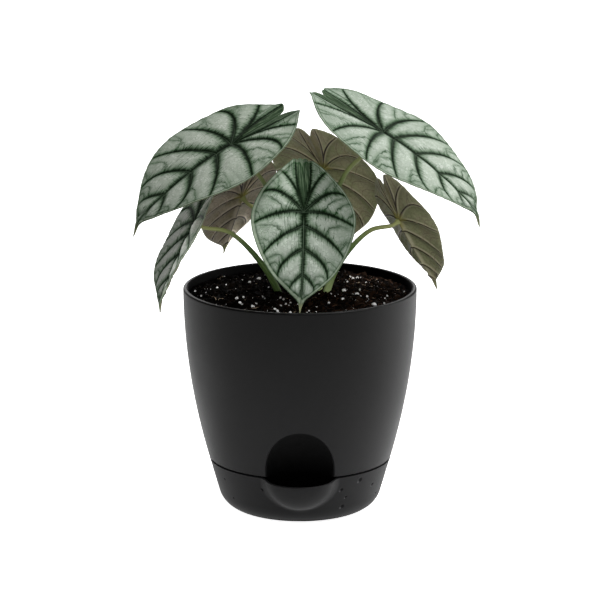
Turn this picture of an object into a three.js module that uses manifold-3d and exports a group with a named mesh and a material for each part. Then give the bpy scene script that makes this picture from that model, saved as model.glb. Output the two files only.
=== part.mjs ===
// Potted silver dragon alocasia: seven shield-shaped leaves on their stalks, growing in potting mix
// in a self-watering pot that stands in its water tray. Millimetres, +Z up. The origin is on the
// surface that the tray stands on, at the pot's axis, and the fill mouth faces -Y.

import * as THREE from 'three';
import { mergeVertices } from 'three/addons/utils/BufferGeometryUtils.js';
import Module from 'manifold-3d';

const wasm = await Module();
wasm.setup();

// Driving dimensions of the pot and the tray
const POT_HEIGHT = 150;
const RIM_RADIUS = 77.5;
const SEAM_HEIGHT = 34;
const SEAM_RADIUS = 60.7;
const SEAM_SLOPE = 0.288;
const FOOT_FILLET = 15.5;
const POT_WALL = 2.8;
const LIP_WALL = 3.3;
const TRAY_WALL = 2.5;
const FLOOR = 2.6;
const POT_FLOOR_HEIGHT = 22;
const ROUND_SIDES = 60;
const GAP = 0.3;

// The fill mouth: a domed alcove in the pot over a half bowl that stands out of the tray
const MOUTH = { halfWidth: 23.7, depth: 20, rise: 33.9, centre: 65, wall: 2.4 };
const BOWL = { halfWidth: 23.6, reach: 18, drop: 21.5, centre: 58, wall: 1.8, dip: 0.095 };
const DRAIN = { radius: 3, ring: 24, count: 6 };
const FOOT = { radius: 7, ring: 31, count: 4 };

// Driving dimensions of the potting mix
const SOIL_EDGE = 144.3;
const SOIL_CROWN = 147.3;
const BROAD_WAVE = { height: 0.5, across: 7, deep: 6, phase: 1 };
const SLANT_WAVE = { height: 0.4, across: 3.7, deep: 4.9 };
const CLUMPS = 22;
const PERLITE = 34;
const GRAIN = { reach: 68, least: 0.8, spread: 0.5, thickness: 0.85, rise: 0.15 };

// Driving dimensions of the leaves
const BLADE = 0.9;
const QUILT = 0.085;
const MIDRIB = 1.3;
const SIDE_RIB = 0.7;
const ROOT_RIB = SIDE_RIB / 2;
const DRIP_START = 0.8;
const MARGIN_WAVE = 0.012;
const WAVES_ALONG = 9;
const SWELL_PEAK = 0.6;
const LOBE_BLEND = 0.06;
const STALK_SIDES = 8;
const STALK_STEPS = 15;

// Half the outline of a blade, from the drip tip to the notch between the lobes, in fractions of
// the length from the stalk to the tip. The first number runs towards the tip, the second outward.
const OUTLINE = [
  [1, 0], [0.93, 0.012], [0.87, 0.04], [0.79, 0.125], [0.6, 0.318], [0.35, 0.455], [0.08, 0.515],
  [-0.18, 0.46], [-0.38, 0.32], [-0.52, 0.165], [-0.565, 0.095], [-0.53, 0.04], [-0.45, 0],
];

// The lines between which a blade swells, from the tip to the notch: where each leaves the midrib,
// the point it bows towards, and how far along the outline it meets the margin. The first and the
// last are the midline itself, and the others are the side veins.
const VEINS = [
  { root: 0.86, bow: [0.93, 0], end: 0 },
  { root: 0.78, bow: [0.857, 0.052], end: 0.15 },
  { root: 0.61, bow: [0.715, 0.145], end: 0.24 },
  { root: 0.36, bow: [0.5, 0.28], end: 0.3 },
  { root: 0.13, bow: [0.255, 0.295], end: 0.385 },
  { root: 0, bow: [-0.035, 0.225], end: 0.485 },
  { root: 0, bow: [-0.31, 0.27], end: 0.583 },
  { root: 0, bow: [-0.27, 0.105], end: 0.7 },
  { root: 0, bow: [-0.265, 0.085], end: 0.84 },
  { root: 0, bow: [-0.225, 0], end: 1 },
];
const ROWS = [0, 0.14, 0.34, 0.58, 0.8, 1];

// Each leaf: the top of its stalk, the compass turn, pitch and roll of its blade in degrees, the
// length from stalk to tip, the bend of the front, of the lobes and of the drip tip in radians, the
// keel angle of the two halves, how much they arch, the sideways sweep, the width, the length of
// each lobe, how much the lobes draw in, and the stalk's two way points and foot in the soil.
const LEAVES = [
  {
    name: 'left_top', at: [-45, -15, 248.5], turn: 207, pitch: -25, roll: -11, length: 90.5,
    bend: [0.45, 0.05, 0.6], keel: 8, arch: 0.12, sweep: -0.04, width: 1, lobes: [0.98, 0.92],
    pinch: 0.1, foot: [-8, 5], way: [[-13, 2, 190], [-25.5, -6, 224]], neck: 6,
  },
  {
    name: 'right_top', at: [54.5, -10, 255.5], turn: -23, pitch: -27, roll: 7, length: 91,
    bend: [0.45, 0.001, 0.65], keel: 7, arch: 0.14, sweep: 0.06, width: 0.98, lobes: [1, 1.06],
    pinch: 0.05, foot: [12, 3], way: [[17, 0, 190], [31, -5, 229]], neck: 6,
  },
  {
    name: 'front', at: [2.5, -45, 209.5], turn: 270, pitch: -63, roll: -9, length: 66,
    bend: [0.5, 0.4, 0.15], keel: 7, arch: 0.16, sweep: 0, width: 1, lobes: [0.96, 0.98],
    pinch: 0.25, foot: [1, -3], way: [[1, -5, 178], [1, -20, 199]], neck: 6,
  },
  {
    name: 'left_low', at: [-69.5, -5, 194.5], turn: 233, pitch: -48, roll: 35, length: 68,
    bend: [0.1, 0.25, 0.45], keel: 10, arch: 0.06, sweep: 0, width: 1.02, lobes: [1, 1],
    pinch: 0, foot: [-14, -3], way: [[-26, -4, 167], [-46.5, -5, 187.5]], neck: 4,
  },
  {
    name: 'back_left', at: [-39.5, 35, 204], turn: 111, pitch: -51, roll: -21, length: 58.5,
    bend: [0.05, 0.3, 0.1], keel: 9, arch: 0.12, sweep: 0.02, width: 1, lobes: [1, 1],
    pinch: 0.05, foot: [-2, 11], way: [[-7, 14, 172], [-22, 22, 193]], neck: 5,
  },
  {
    name: 'back', at: [16, 38, 222.5], turn: 66, pitch: -52, roll: 4, length: 74.5,
    bend: [0.4, 0.3, 0.45], keel: 8, arch: 0.14, sweep: 0, width: 1, lobes: [0.96, 1.04],
    pinch: 0.05, foot: [6, 8], way: [[7, 11, 180], [10, 22, 208]], neck: 6,
  },
  {
    name: 'right_low', at: [66, -8, 197], turn: 30, pitch: -62, roll: -2, length: 59.5,
    bend: [-0.15, 0.001, 0.3], keel: 11, arch: 0.02, sweep: 0.02, width: 1.04, lobes: [0.92, 1.08],
    pinch: -0.15, foot: [17, -4], way: [[26.5, -5, 167.5], [46, -8, 189.5]], neck: 4,
  },
];
const STALK = { foot: 3, top: 1.3, taper: 1.6, depth: 20, stand: 3 };

// Colours, roughness and gloss of the real surfaces
const MATERIALS = {
  plastic: new THREE.MeshStandardMaterial({ color: 0x1c1c1d, roughness: 0.55 }),
  soil: new THREE.MeshStandardMaterial({ color: 0x17110e, roughness: 0.95 }),
  blade: new THREE.MeshStandardMaterial({ color: 0x8fa394, roughness: 0.5 }),
  stalk: new THREE.MeshStandardMaterial({ color: 0x4f5a2a, roughness: 0.5 }),
};

// Turns a closed geometry into a solid that can be cut and joined.
function toSolid(geometry) {
  const bare = geometry.index ? geometry.clone() : mergeVertices(geometry, 1e-4);
  bare.deleteAttribute('normal');
  bare.deleteAttribute('uv');
  const merged = mergeVertices(bare, 1e-4);
  const triVerts = [];
  for (let i = 0; i < merged.index.count; i += 3) {
    const [a, b, c] = [0, 1, 2].map((k) => merged.index.getX(i + k));
    if (a !== b && b !== c && c !== a) triVerts.push(a, b, c);
  }
  return new wasm.Manifold(new wasm.Mesh({
    numProp: 3,
    vertProperties: new Float32Array(merged.attributes.position.array),
    triVerts: new Uint32Array(triVerts),
  }));
}

// Turns a solid back into a geometry.
function toGeometry(solid) {
  const mesh = solid.getMesh();
  const geometry = new THREE.BufferGeometry();
  geometry.setAttribute('position', new THREE.BufferAttribute(mesh.vertProperties, 3));
  geometry.setIndex(new THREE.BufferAttribute(mesh.triVerts, 1));
  return geometry;
}

// A solid of revolution about Z from a profile of [radius, height] that starts and ends on the axis.
function turned(profile, sides = ROUND_SIDES) {
  const points = profile.map(([r, z]) => new THREE.Vector2(r, z));
  return toSolid(new THREE.LatheGeometry(points, sides).rotateX(Math.PI / 2));
}

// An upright cylinder from one height to another.
function post(x, y, radius, bottom, top, sides = 12) {
  const geometry = new THREE.CylinderGeometry(radius, radius, top - bottom, sides);
  geometry.rotateX(Math.PI / 2);
  geometry.translate(x, y, (top + bottom) / 2);
  return toSolid(geometry);
}

// Seeded random numbers between 0 and 1, the same on each run.
function seeded(seed) {
  let state = seed;
  return () => {
    state = (state * 1664525 + 1013904223) % 4294967296;
    return state / 4294967296;
  };
}

// Outside radius of the pot at a height above the seam: a wall that steepens as it rises.
function potRadius(z) {
  const rise = POT_HEIGHT - SEAM_HEIGHT;
  const t = (z - SEAM_HEIGHT) / rise;
  const fall = SEAM_RADIUS + SEAM_SLOPE * rise - RIM_RADIUS;
  return SEAM_RADIUS + SEAM_SLOPE * rise * t - fall * t * t;
}

// Outside radius of the tray's straight wall at a height.
function trayRadius(z) {
  return SEAM_RADIUS - SEAM_SLOPE * (SEAM_HEIGHT - z);
}

// Points of the tray's rounded foot and wall, from the flat underneath to the rim, moved inward by a
// wall's thickness and up by a floor's. The foot is an arc that meets the floor and the wall.
function trayProfile(inset, floor, top) {
  const radius = FOOT_FILLET - inset;
  const lean = Math.atan(SEAM_SLOPE);
  const centreZ = floor + radius;
  const centreR = trayRadius(centreZ) - inset / Math.cos(lean) - radius / Math.cos(lean);
  const points = [[0, floor]];
  const steps = 4;
  for (let i = 0; i <= steps; i += 1) {
    const angle = -Math.PI / 2 + (Math.PI / 2 - lean) * (i / steps);
    points.push([centreR + radius * Math.cos(angle), centreZ + radius * Math.sin(angle)]);
  }
  points.push([trayRadius(top) - inset / Math.cos(lean), top]);
  points.push([0, top]);
  return points;
}

// The half bowl of the fill mouth: the lower half of an ellipsoid, whose mouth is level with the rim
// and dips outward beyond it.
function bowl(shrink, above) {
  const ball = new THREE.SphereGeometry(1, 32, 14).rotateX(Math.PI / 2);
  ball.scale(BOWL.halfWidth - shrink, BOWL.reach - shrink, BOWL.drop - shrink);
  ball.translate(0, -BOWL.centre, SEAM_HEIGHT);
  const size = 80;
  const level = new THREE.BoxGeometry(size, size, size).translate(0, 0, size / 2);
  const dipped = level.clone().rotateX(Math.atan(BOWL.dip));
  level.translate(0, -SEAM_RADIUS, SEAM_HEIGHT + above);
  dipped.translate(0, -SEAM_RADIUS, SEAM_HEIGHT + above);
  return toSolid(ball).subtract(toSolid(level)).subtract(toSolid(dipped));
}

function makeTray() {
  const outer = turned(trayProfile(0, 0, SEAM_HEIGHT));
  const hollow = turned(trayProfile(TRAY_WALL, FLOOR, SEAM_HEIGHT + 5));
  return outer.add(bowl(0, 0)).subtract(hollow).subtract(bowl(BOWL.wall, 1));
}

// The alcove: a dome over an upright elliptic shaft, grown outward by a wall's thickness or a gap.
function alcove(grow) {
  const steps = 6;
  const profile = [[0, -1], [1, -1]];
  for (let i = 0; i < steps; i += 1) {
    const angle = (Math.PI / 2) * (i / steps);
    profile.push([Math.cos(angle), Math.sin(angle)]);
  }
  profile.push([0, 1]);
  const points = profile.map(([r, z]) => new THREE.Vector2(r, z));
  const geometry = new THREE.LatheGeometry(points, 32).rotateX(Math.PI / 2);
  geometry.scale(MOUTH.halfWidth + grow, MOUTH.depth + grow, MOUTH.rise + grow);
  geometry.translate(0, -MOUTH.centre, SEAM_HEIGHT);
  return toSolid(geometry);
}

// The space inside the pot's wall, drawn in by an extra clearance.
function potHollow(clear, top) {
  const skirt = trayRadius(POT_FLOOR_HEIGHT) - TRAY_WALL - 2 * GAP - POT_WALL;
  const points = [[0, POT_FLOOR_HEIGHT + FLOOR + clear], [skirt - clear, POT_FLOOR_HEIGHT + FLOOR + clear]];
  const rings = 6;
  for (let i = 0; i <= rings; i += 1) {
    const z = SEAM_HEIGHT + 6 + (top - SEAM_HEIGHT - 6) * (i / rings);
    const wall = POT_WALL + (LIP_WALL - POT_WALL) * Math.max(0, (z - POT_HEIGHT + 20) / 20);
    points.push([potRadius(Math.min(z, POT_HEIGHT)) - wall - clear, z]);
  }
  points.push([0, top]);
  return points;
}

// The pot: a tapered shell with a rounded lip, a shoulder that sits over the tray's rim, a skirt that
// nests inside it, a drained floor on four feet, and the alcove of the fill mouth in front.
function makePot() {
  const seam = SEAM_HEIGHT + GAP;
  const skirtTop = trayRadius(SEAM_HEIGHT) - TRAY_WALL - 2 * GAP;
  const skirtFoot = trayRadius(POT_FLOOR_HEIGHT) - TRAY_WALL - 2 * GAP;
  const chamfer = 0.6;
  const profile = [
    [0, POT_FLOOR_HEIGHT], [skirtFoot, POT_FLOOR_HEIGHT], [skirtTop, seam],
    [potRadius(seam) - chamfer, seam],
  ];
  const rings = 6;
  const lip = LIP_WALL / 2;
  for (let i = 0; i <= rings; i += 1) {
    const z = seam + chamfer + (POT_HEIGHT - lip - seam - chamfer) * (i / rings);
    profile.push([potRadius(z), z]);
  }
  const lipSteps = 3;
  for (let i = 1; i <= lipSteps; i += 1) {
    const angle = (Math.PI / 2) * (i / lipSteps);
    profile.push([RIM_RADIUS - lip + lip * Math.cos(angle), POT_HEIGHT - lip + lip * Math.sin(angle)]);
  }
  profile.push([0, POT_HEIGHT]);
  const outer = turned(profile);
  let pot = outer.subtract(turned(potHollow(0, POT_HEIGHT + 1)));
  pot = pot.add(alcove(MOUTH.wall).intersect(outer)).subtract(alcove(0));
  for (let i = 0; i < DRAIN.count; i += 1) {
    const angle = (2 * Math.PI * i) / DRAIN.count;
    const [x, y] = [DRAIN.ring * Math.cos(angle), DRAIN.ring * Math.sin(angle)];
    pot = pot.subtract(post(x, y, DRAIN.radius, POT_FLOOR_HEIGHT - 1, POT_FLOOR_HEIGHT + FLOOR + 1));
  }
  for (let i = 0; i < FOOT.count; i += 1) {
    const angle = (2 * Math.PI * i) / FOOT.count + Math.PI / 4;
    const [x, y] = [FOOT.ring * Math.cos(angle), FOOT.ring * Math.sin(angle)];
    pot = pot.add(post(x, y, FOOT.radius, FLOOR + GAP, POT_FLOOR_HEIGHT + FLOOR / 2));
  }
  return pot;
}

// Height of the potting mix at a place: a low mound with a few soft hollows.
function soilHeight(x, y) {
  const r = Math.hypot(x, y) / RIM_RADIUS;
  const mound = SOIL_CROWN - (SOIL_CROWN - SOIL_EDGE) * r * r;
  const broad = Math.sin(x / BROAD_WAVE.across + BROAD_WAVE.phase) * Math.cos(y / BROAD_WAVE.deep);
  const slant = Math.sin(x / SLANT_WAVE.across - y / SLANT_WAVE.deep);
  return mound + BROAD_WAVE.height * broad + SLANT_WAVE.height * slant;
}

// A small rough grain, half sunk in the mix.
function grain(random, size) {
  const ring = GRAIN.reach * Math.sqrt(random());
  const angle = 2 * Math.PI * random();
  const [x, y] = [ring * Math.cos(angle), ring * Math.sin(angle)];
  const shape = new THREE.OctahedronGeometry(1, 0);
  const [long, wide] = [random(), random()].map((chance) => size * (GRAIN.least + GRAIN.spread * chance));
  shape.scale(long, wide, size * GRAIN.thickness);
  shape.rotateX(random() * 2);
  shape.rotateZ(random() * 3);
  shape.translate(x, y, soilHeight(x, y) + size * GRAIN.rise);
  return toSolid(shape);
}

// The potting mix: it fills the pot up to the mound, with clumps of fibre and grains of perlite
// rooted in its top, a hollow round the alcove and a plain hole for each stalk.
function makeSoil(stalkHoles) {
  const profile = potHollow(GAP, SOIL_EDGE);
  profile.pop();
  const edge = profile[profile.length - 1][0];
  const rings = 7;
  for (let i = rings - 1; i >= 0; i -= 1) profile.push([(edge * i) / rings, SOIL_EDGE]);
  const points = profile.map(([r, z]) => new THREE.Vector2(r, z));
  const geometry = new THREE.LatheGeometry(points, 40).rotateX(Math.PI / 2);
  const position = geometry.attributes.position;
  for (let i = 0; i < position.count; i += 1) {
    if (position.getZ(i) > SOIL_EDGE - 0.01) {
      position.setZ(i, soilHeight(position.getX(i), position.getY(i)));
    }
  }
  let soil = toSolid(geometry).subtract(alcove(MOUTH.wall + GAP));
  const random = seeded(5);
  const grains = [];
  for (let i = 0; i < CLUMPS; i += 1) grains.push(grain(random, 2 + 1.6 * random()));
  for (let i = 0; i < PERLITE; i += 1) grains.push(grain(random, 1.2 + 0.7 * random()));
  for (const piece of grains) soil = soil.add(piece);
  for (const hole of stalkHoles) soil = soil.subtract(hole);
  return soil;
}

// The three directions of a blade: along the midrib to the tip, to its side, and out of its face.
function bladeFrame(leaf) {
  const [turn, pitch, roll] = [leaf.turn, leaf.pitch, leaf.roll].map(THREE.MathUtils.degToRad);
  const along = new THREE.Vector3(
    Math.cos(turn) * Math.cos(pitch),
    Math.sin(turn) * Math.cos(pitch),
    Math.sin(pitch),
  );
  const level = new THREE.Vector3(-Math.sin(turn), Math.cos(turn), 0);
  const face = along.clone().cross(level);
  const side = level.clone().multiplyScalar(Math.cos(roll)).addScaledVector(face, Math.sin(roll));
  return { along, side, face: along.clone().cross(side) };
}

// A point of a blade: s along the midrib, t to the side, and lift out of the face in millimetres.
// The midrib is three arcs, for the lobes, the front and the drip tip, and the halves rise from it
// at the keel angle and arch over.
function bladePoint(leaf, frame, s, t, lift) {
  const [front, back, drip] = leaf.bend;
  const lobe = leaf.lobes[t >= 0 ? 0 : 1];
  const mean = (leaf.lobes[0] + leaf.lobes[1]) / 2;
  const reach = mean + (lobe - mean) * Math.min(1, Math.abs(t) / LOBE_BLEND);
  const out = t * leaf.width * (1 + leaf.pinch * Math.min(s, 0));
  const run = s < 0 ? s * reach : s;
  const curve = run < 0 ? back : front;
  const near = Math.min(run, DRIP_START);
  let angle = curve * near;
  let x = Math.sin(angle) / curve;
  let z = (Math.cos(angle) - 1) / curve;
  if (run > DRIP_START) {
    const tight = front + drip / (1 - DRIP_START);
    const turned = angle + tight * (run - DRIP_START);
    x += (Math.sin(turned) - Math.sin(angle)) / tight;
    z += (Math.cos(turned) - Math.cos(angle)) / tight;
    angle = turned;
  }
  const rise = Math.tan(THREE.MathUtils.degToRad(leaf.keel)) * Math.abs(out) - 2 * leaf.arch * out * out;
  const h = rise + lift / leaf.length;
  const across = out + leaf.sweep * Math.max(run, 0) ** 2;
  return new THREE.Vector3(...leaf.at)
    .addScaledVector(frame.along, leaf.length * (x + h * Math.sin(angle)))
    .addScaledVector(frame.side, leaf.length * across)
    .addScaledVector(frame.face, leaf.length * (z + h * Math.cos(angle)));
}

// The flat net of half a blade: columns along the veins and half way between them, rows from the
// midrib to the margin. Each knot has its place, the swell of its panel and the depth of its rib.
function halfNet() {
  const outline = new THREE.CatmullRomCurve3(
    OUTLINE.map(([s, t]) => new THREE.Vector3(s, t, 0)),
    false,
    'centripetal',
  );
  const veinAt = (vein, v) => {
    const tip = outline.getPoint(vein.end);
    const s = (1 - v) ** 2 * vein.root + 2 * v * (1 - v) * vein.bow[0] + v * v * tip.x;
    const t = 2 * v * (1 - v) * vein.bow[1] + v * v * tip.y;
    return new THREE.Vector2(s, t);
  };
  const columns = [];
  VEINS.forEach((vein, k) => {
    columns.push(ROWS.map((v) => {
      const rib = v === 0 ? MIDRIB * (1 - vein.root) + ROOT_RIB : SIDE_RIB * (1 - v);
      return { place: veinAt(vein, v), swell: 0, rib, v, u: vein.end };
    }));
    const next = VEINS[k + 1];
    if (!next) return;
    const u = (vein.end + next.end) / 2;
    const margin = outline.getPoint(u);
    const chord = veinAt(vein, 1).add(veinAt(next, 1)).multiplyScalar(0.5);
    const shift = new THREE.Vector2(margin.x, margin.y).sub(chord);
    columns.push(ROWS.map((v) => {
      const [a, b] = [veinAt(vein, v), veinAt(next, v)];
      const swell = QUILT * a.distanceTo(b) * Math.sin(Math.PI * v ** SWELL_PEAK);
      const place = a.clone().add(b).multiplyScalar(0.5).addScaledVector(shift, v * v * v);
      const rib = v === 0 ? MIDRIB * (1 - (vein.root + next.root) / 2) + ROOT_RIB : 0;
      return { place, swell, rib, v, u };
    }));
  });
  return columns;
}

// A blade: the two halves of the net on the curved face, the underside beneath it with its ribs, and
// the rim between them. Both faces are split into triangles alike.
function makeBlade(leaf) {
  const frame = bladeFrame(leaf);
  const net = halfNet();
  const vertices = [];
  const pushTriangle = (a, b, c) => {
    const tiny = 1e-5;
    if (a.distanceTo(b) < tiny || b.distanceTo(c) < tiny || c.distanceTo(a) < tiny) return;
    for (const p of [a, b, c]) vertices.push(p.x, p.y, p.z);
  };
  for (const sign of [1, -1]) {
    const face = (under) => net.map((column) => column.map(({ place, swell, rib, v, u }) => {
      const ripple = Math.sin(WAVES_ALONG * Math.PI * u + sign + leaf.turn);
      const wave = MARGIN_WAVE * v ** 3 * Math.sin(Math.PI * u) * ripple;
      const lift = leaf.length * (swell + wave) - (under ? BLADE + rib : 0);
      return bladePoint(leaf, frame, place.x, sign * place.y, lift);
    }));
    const [top, bottom] = [face(false), face(true)];
    const order = (a, b, c, up) => (up === (sign > 0) ? pushTriangle(a, b, c) : pushTriangle(a, c, b));
    for (let i = 0; i + 1 < net.length; i += 1) {
      for (let j = 0; j + 1 < ROWS.length; j += 1) {
        for (const [grid, up] of [[top, true], [bottom, false]]) {
          order(grid[i][j], grid[i][j + 1], grid[i + 1][j], up);
          order(grid[i][j + 1], grid[i + 1][j + 1], grid[i + 1][j], up);
        }
      }
      const rim = ROWS.length - 1;
      order(top[i][rim], bottom[i][rim], top[i + 1][rim], true);
      order(bottom[i][rim], bottom[i + 1][rim], top[i + 1][rim], true);
    }
  }
  const geometry = new THREE.BufferGeometry();
  geometry.setAttribute('position', new THREE.Float32BufferAttribute(vertices, 3));
  return toSolid(geometry);
}

// A leaf's stalk: a tapered round tube that rises from its foot in the mix, passes its way points and
// meets the blade square to its underside. Grown, it is the hole that the stalk stands in.
function makeStalk(leaf, grow) {
  const { face } = bladeFrame(leaf);
  const seat = BLADE + MIDRIB + ROOT_RIB + GAP;
  const joint = new THREE.Vector3(...leaf.at).addScaledVector(face, -seat);
  const neck = joint.clone().addScaledVector(face, -leaf.neck);
  const [x, y] = leaf.foot;
  const ground = soilHeight(x, y);
  const path = new THREE.CatmullRomCurve3([
    new THREE.Vector3(x, y, ground - STALK.depth),
    new THREE.Vector3(x, y, ground - STALK.stand),
    ...leaf.way.map((point) => new THREE.Vector3(...point)),
    neck,
    joint,
  ], false, 'centripetal');
  const frames = path.computeFrenetFrames(STALK_STEPS, false);
  const rings = [];
  for (let i = 0; i <= STALK_STEPS; i += 1) {
    const t = i / STALK_STEPS;
    const centre = path.getPointAt(t);
    const radius = STALK.top + (STALK.foot - STALK.top) * (1 - t) ** STALK.taper + grow;
    const ring = [];
    for (let k = 0; k < STALK_SIDES; k += 1) {
      const angle = (2 * Math.PI * k) / STALK_SIDES;
      ring.push(centre.clone()
        .addScaledVector(frames.normals[i], radius * Math.cos(angle))
        .addScaledVector(frames.binormals[i], radius * Math.sin(angle)));
    }
    rings.push(ring);
  }
  const vertices = [];
  const push = (...corners) => {
    for (const p of corners) vertices.push(p.x, p.y, p.z);
  };
  for (let k = 0; k < STALK_SIDES; k += 1) {
    const next = (k + 1) % STALK_SIDES;
    for (let i = 0; i < STALK_STEPS; i += 1) {
      push(rings[i][k], rings[i][next], rings[i + 1][k]);
      push(rings[i][next], rings[i + 1][next], rings[i + 1][k]);
    }
    if (k > 0 && k + 1 < STALK_SIDES) {
      push(rings[0][0], rings[0][k + 1], rings[0][k]);
      push(rings[STALK_STEPS][0], rings[STALK_STEPS][k], rings[STALK_STEPS][k + 1]);
    }
  }
  const geometry = new THREE.BufferGeometry();
  geometry.setAttribute('position', new THREE.Float32BufferAttribute(vertices, 3));
  return toSolid(geometry);
}

const plant = new THREE.Group();

function place(name, solid, material) {
  const mesh = new THREE.Mesh(toGeometry(solid), material);
  mesh.name = name;
  plant.add(mesh);
}

place('water_tray', makeTray(), MATERIALS.plastic);
place('pot', makePot(), MATERIALS.plastic);
place('soil', makeSoil(LEAVES.map((leaf) => makeStalk(leaf, GAP))), MATERIALS.soil);
for (const leaf of LEAVES) {
  place(`stalk_${leaf.name}`, makeStalk(leaf, 0), MATERIALS.stalk);
  place(`leaf_${leaf.name}`, makeBlade(leaf), MATERIALS.blade);
}

export default plant;
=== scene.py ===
# %% [markdown]
# # A potted silver dragon alocasia
#
# This lesson dresses a small house plant: seven shield-shaped leaves with dark sunken veins, on
# stalks that rise from potting mix, in a black self-watering pot that stands in its water tray. The
# part's solids are loaded as a fixed frame, and each visible piece is worked out as a surface at the
# place of the solid that it stands for. Lengths are millimetres until a mesh is made.

import math

import bmesh
import bpy
import numpy as np
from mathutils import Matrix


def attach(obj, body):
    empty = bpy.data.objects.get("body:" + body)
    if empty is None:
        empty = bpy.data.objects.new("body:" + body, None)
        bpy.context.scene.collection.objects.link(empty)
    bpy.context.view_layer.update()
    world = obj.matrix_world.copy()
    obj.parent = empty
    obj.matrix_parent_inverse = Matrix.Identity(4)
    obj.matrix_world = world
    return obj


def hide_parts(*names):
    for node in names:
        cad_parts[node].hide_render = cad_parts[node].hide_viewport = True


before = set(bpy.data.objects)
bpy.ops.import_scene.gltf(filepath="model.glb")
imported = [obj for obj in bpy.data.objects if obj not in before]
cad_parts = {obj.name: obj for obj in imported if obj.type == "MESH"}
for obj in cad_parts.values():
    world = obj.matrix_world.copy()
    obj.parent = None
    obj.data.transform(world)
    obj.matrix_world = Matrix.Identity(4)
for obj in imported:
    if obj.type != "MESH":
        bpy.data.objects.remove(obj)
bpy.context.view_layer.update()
MM = 0.001

# %% [markdown]
# ## From arrays to pieces
#
# Each piece could be modelled by hand, but formulas keep it on the sizes of its solid. So a surface
# here is a table of points worked out with numpy, and neighbours in it become faces. Where rows
# shrink to a pole or two halves meet, the doubled points are merged, which closes the piece. Blender
# then turns all faces outward, and a sharp-edge angle keeps real edges crisp.

# %% Grids, meshes and pieces
MERGE_DISTANCE = 1e-7


def stack(*parts):
    """Tables of numbers put together as the parts of one table of vectors."""
    return np.stack(parts, axis=-1)


def added(name, data):
    """A new object in the scene."""
    thing = bpy.data.objects.new(name, data)
    bpy.context.scene.collection.objects.link(thing)
    return thing


def grid_faces(rows, columns, closed=False):
    """Four corners for each cell of a table of points that is numbered row by row. A closed table
    also joins its last column to its first."""
    first, second = np.meshgrid(np.arange(rows - 1), np.arange(columns - (not closed)), indexing="ij")
    after = (second + 1) % columns
    near, far = first * columns, (first + 1) * columns
    return stack(near + second, near + after, far + after, far + second).reshape(-1, 4)


def make_piece(name, points, faces, values=None, corners=None, materials=(), wears=None, sharp=40):
    """A closed object from points in millimetres and the corners of its faces. Values are numbers
    that the points carry for the materials, and corners are numbers that can jump from a face to its
    neighbour. Wears is each face's material."""
    mesh = bpy.data.meshes.new(name)
    mesh.from_pydata((points.reshape(-1, 3) * MM).tolist(), [], faces.tolist())
    for domain, table in (("POINT", values or {}), ("CORNER", corners or {})):
        for key, value in table.items():
            vector = value.ndim > 1 and value.shape[-1] == 3
            layer = mesh.attributes.new(key, "FLOAT_VECTOR" if vector else "FLOAT", domain)
            layer.data.foreach_set("vector" if vector else "value", value.astype(np.float32).ravel())
    for material in materials:
        mesh.materials.append(material)
    if wears is not None:
        mesh.polygons.foreach_set("material_index", wears.astype(np.int32))
    merge = bmesh.new()
    merge.from_mesh(mesh)
    bmesh.ops.remove_doubles(merge, verts=merge.verts, dist=MERGE_DISTANCE)
    bmesh.ops.recalc_face_normals(merge, faces=merge.faces)
    merge.to_mesh(mesh)
    merge.free()
    mesh.set_sharp_from_angle(angle=math.radians(sharp))
    return added(name, mesh)


def belongs(piece, slot, *nodes):
    """The piece moves with the plant and stands for these nodes, whose parts are hidden. The slot is not
    used.
    """
    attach(piece, "root")
    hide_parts(*nodes)
    print(f"{piece.name}: {len(piece.data.vertices)} points, {len(piece.data.polygons)} faces")


def turned(profile, columns):
    """Points of a surface of revolution about Z: each point of the profile, which is a radius and a
    height, is carried round a full circle."""
    turn = np.arange(columns) * 2 * np.pi / columns
    radius, height = profile[:, :1], profile[:, 1:]
    return stack(radius * np.cos(turn), radius * np.sin(turn), height + 0 * turn)


def turned_piece(name, points, **looks):
    """A piece from the points of a turned surface."""
    return make_piece(name, points, grid_faces(*points.shape[:2], closed=True), **looks)


def smooth_step(low, high, value):
    """0 below low, 1 above high, and between them the curve 3 t squared less 2 t cubed."""
    t = np.clip((value - low) / (high - low), 0, 1)
    return t * t * (3 - 2 * t)


def bump(distance, width):
    """A soft ridge, 1 at distance 0: e to the minus square of distance over width."""
    return np.exp(-((distance / width) ** 2))


# %% [markdown]
# ## Curves through points
#
# Stalks and the edge of a leaf are smooth curves through a few chosen points. Curves with handles
# would need two more points for each. Here each stretch is a cubic that takes its slopes from the
# neighbouring points. It weighs them by the roots of their distances, which keeps loops out where
# the points lie unevenly.

# %% A curve through points


def curve_through(points, at):
    """Places on a smooth curve through the points, for at from 0 to 1 with an equal share for each
    stretch: the cubic that has the two end points and their slopes, which weigh the neighbouring
    chords by the square roots of their lengths."""
    points = np.asarray(points, dtype=float)
    padded = np.vstack([2 * points[0] - points[1], points, 2 * points[-1] - points[-2]])
    place = np.clip(np.asarray(at, dtype=float), 0, 1) * (len(points) - 1)
    stretch = np.minimum(place.astype(int), len(points) - 2)
    w = (place - stretch)[..., None]
    before, start, end, after = (padded[stretch + k] for k in range(4))
    chords = ((before, start), (start, end), (end, after))
    d0, d1, d2 = (np.linalg.norm(b - a, axis=-1, keepdims=True) ** 0.5 for a, b in chords)
    leave = (start - before) / d0 - (end - before) / (d0 + d1) + (end - start) / d1
    arrive = (end - start) / d1 - (after - start) / (d1 + d2) + (after - end) / d2
    leave, arrive = leave * d1, arrive * d1
    cubic = 2 * start - 2 * end + leave + arrive
    square = -3 * start + 3 * end - 2 * leave - arrive
    return start + leave * w + square * w**2 + cubic * w**3


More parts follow.
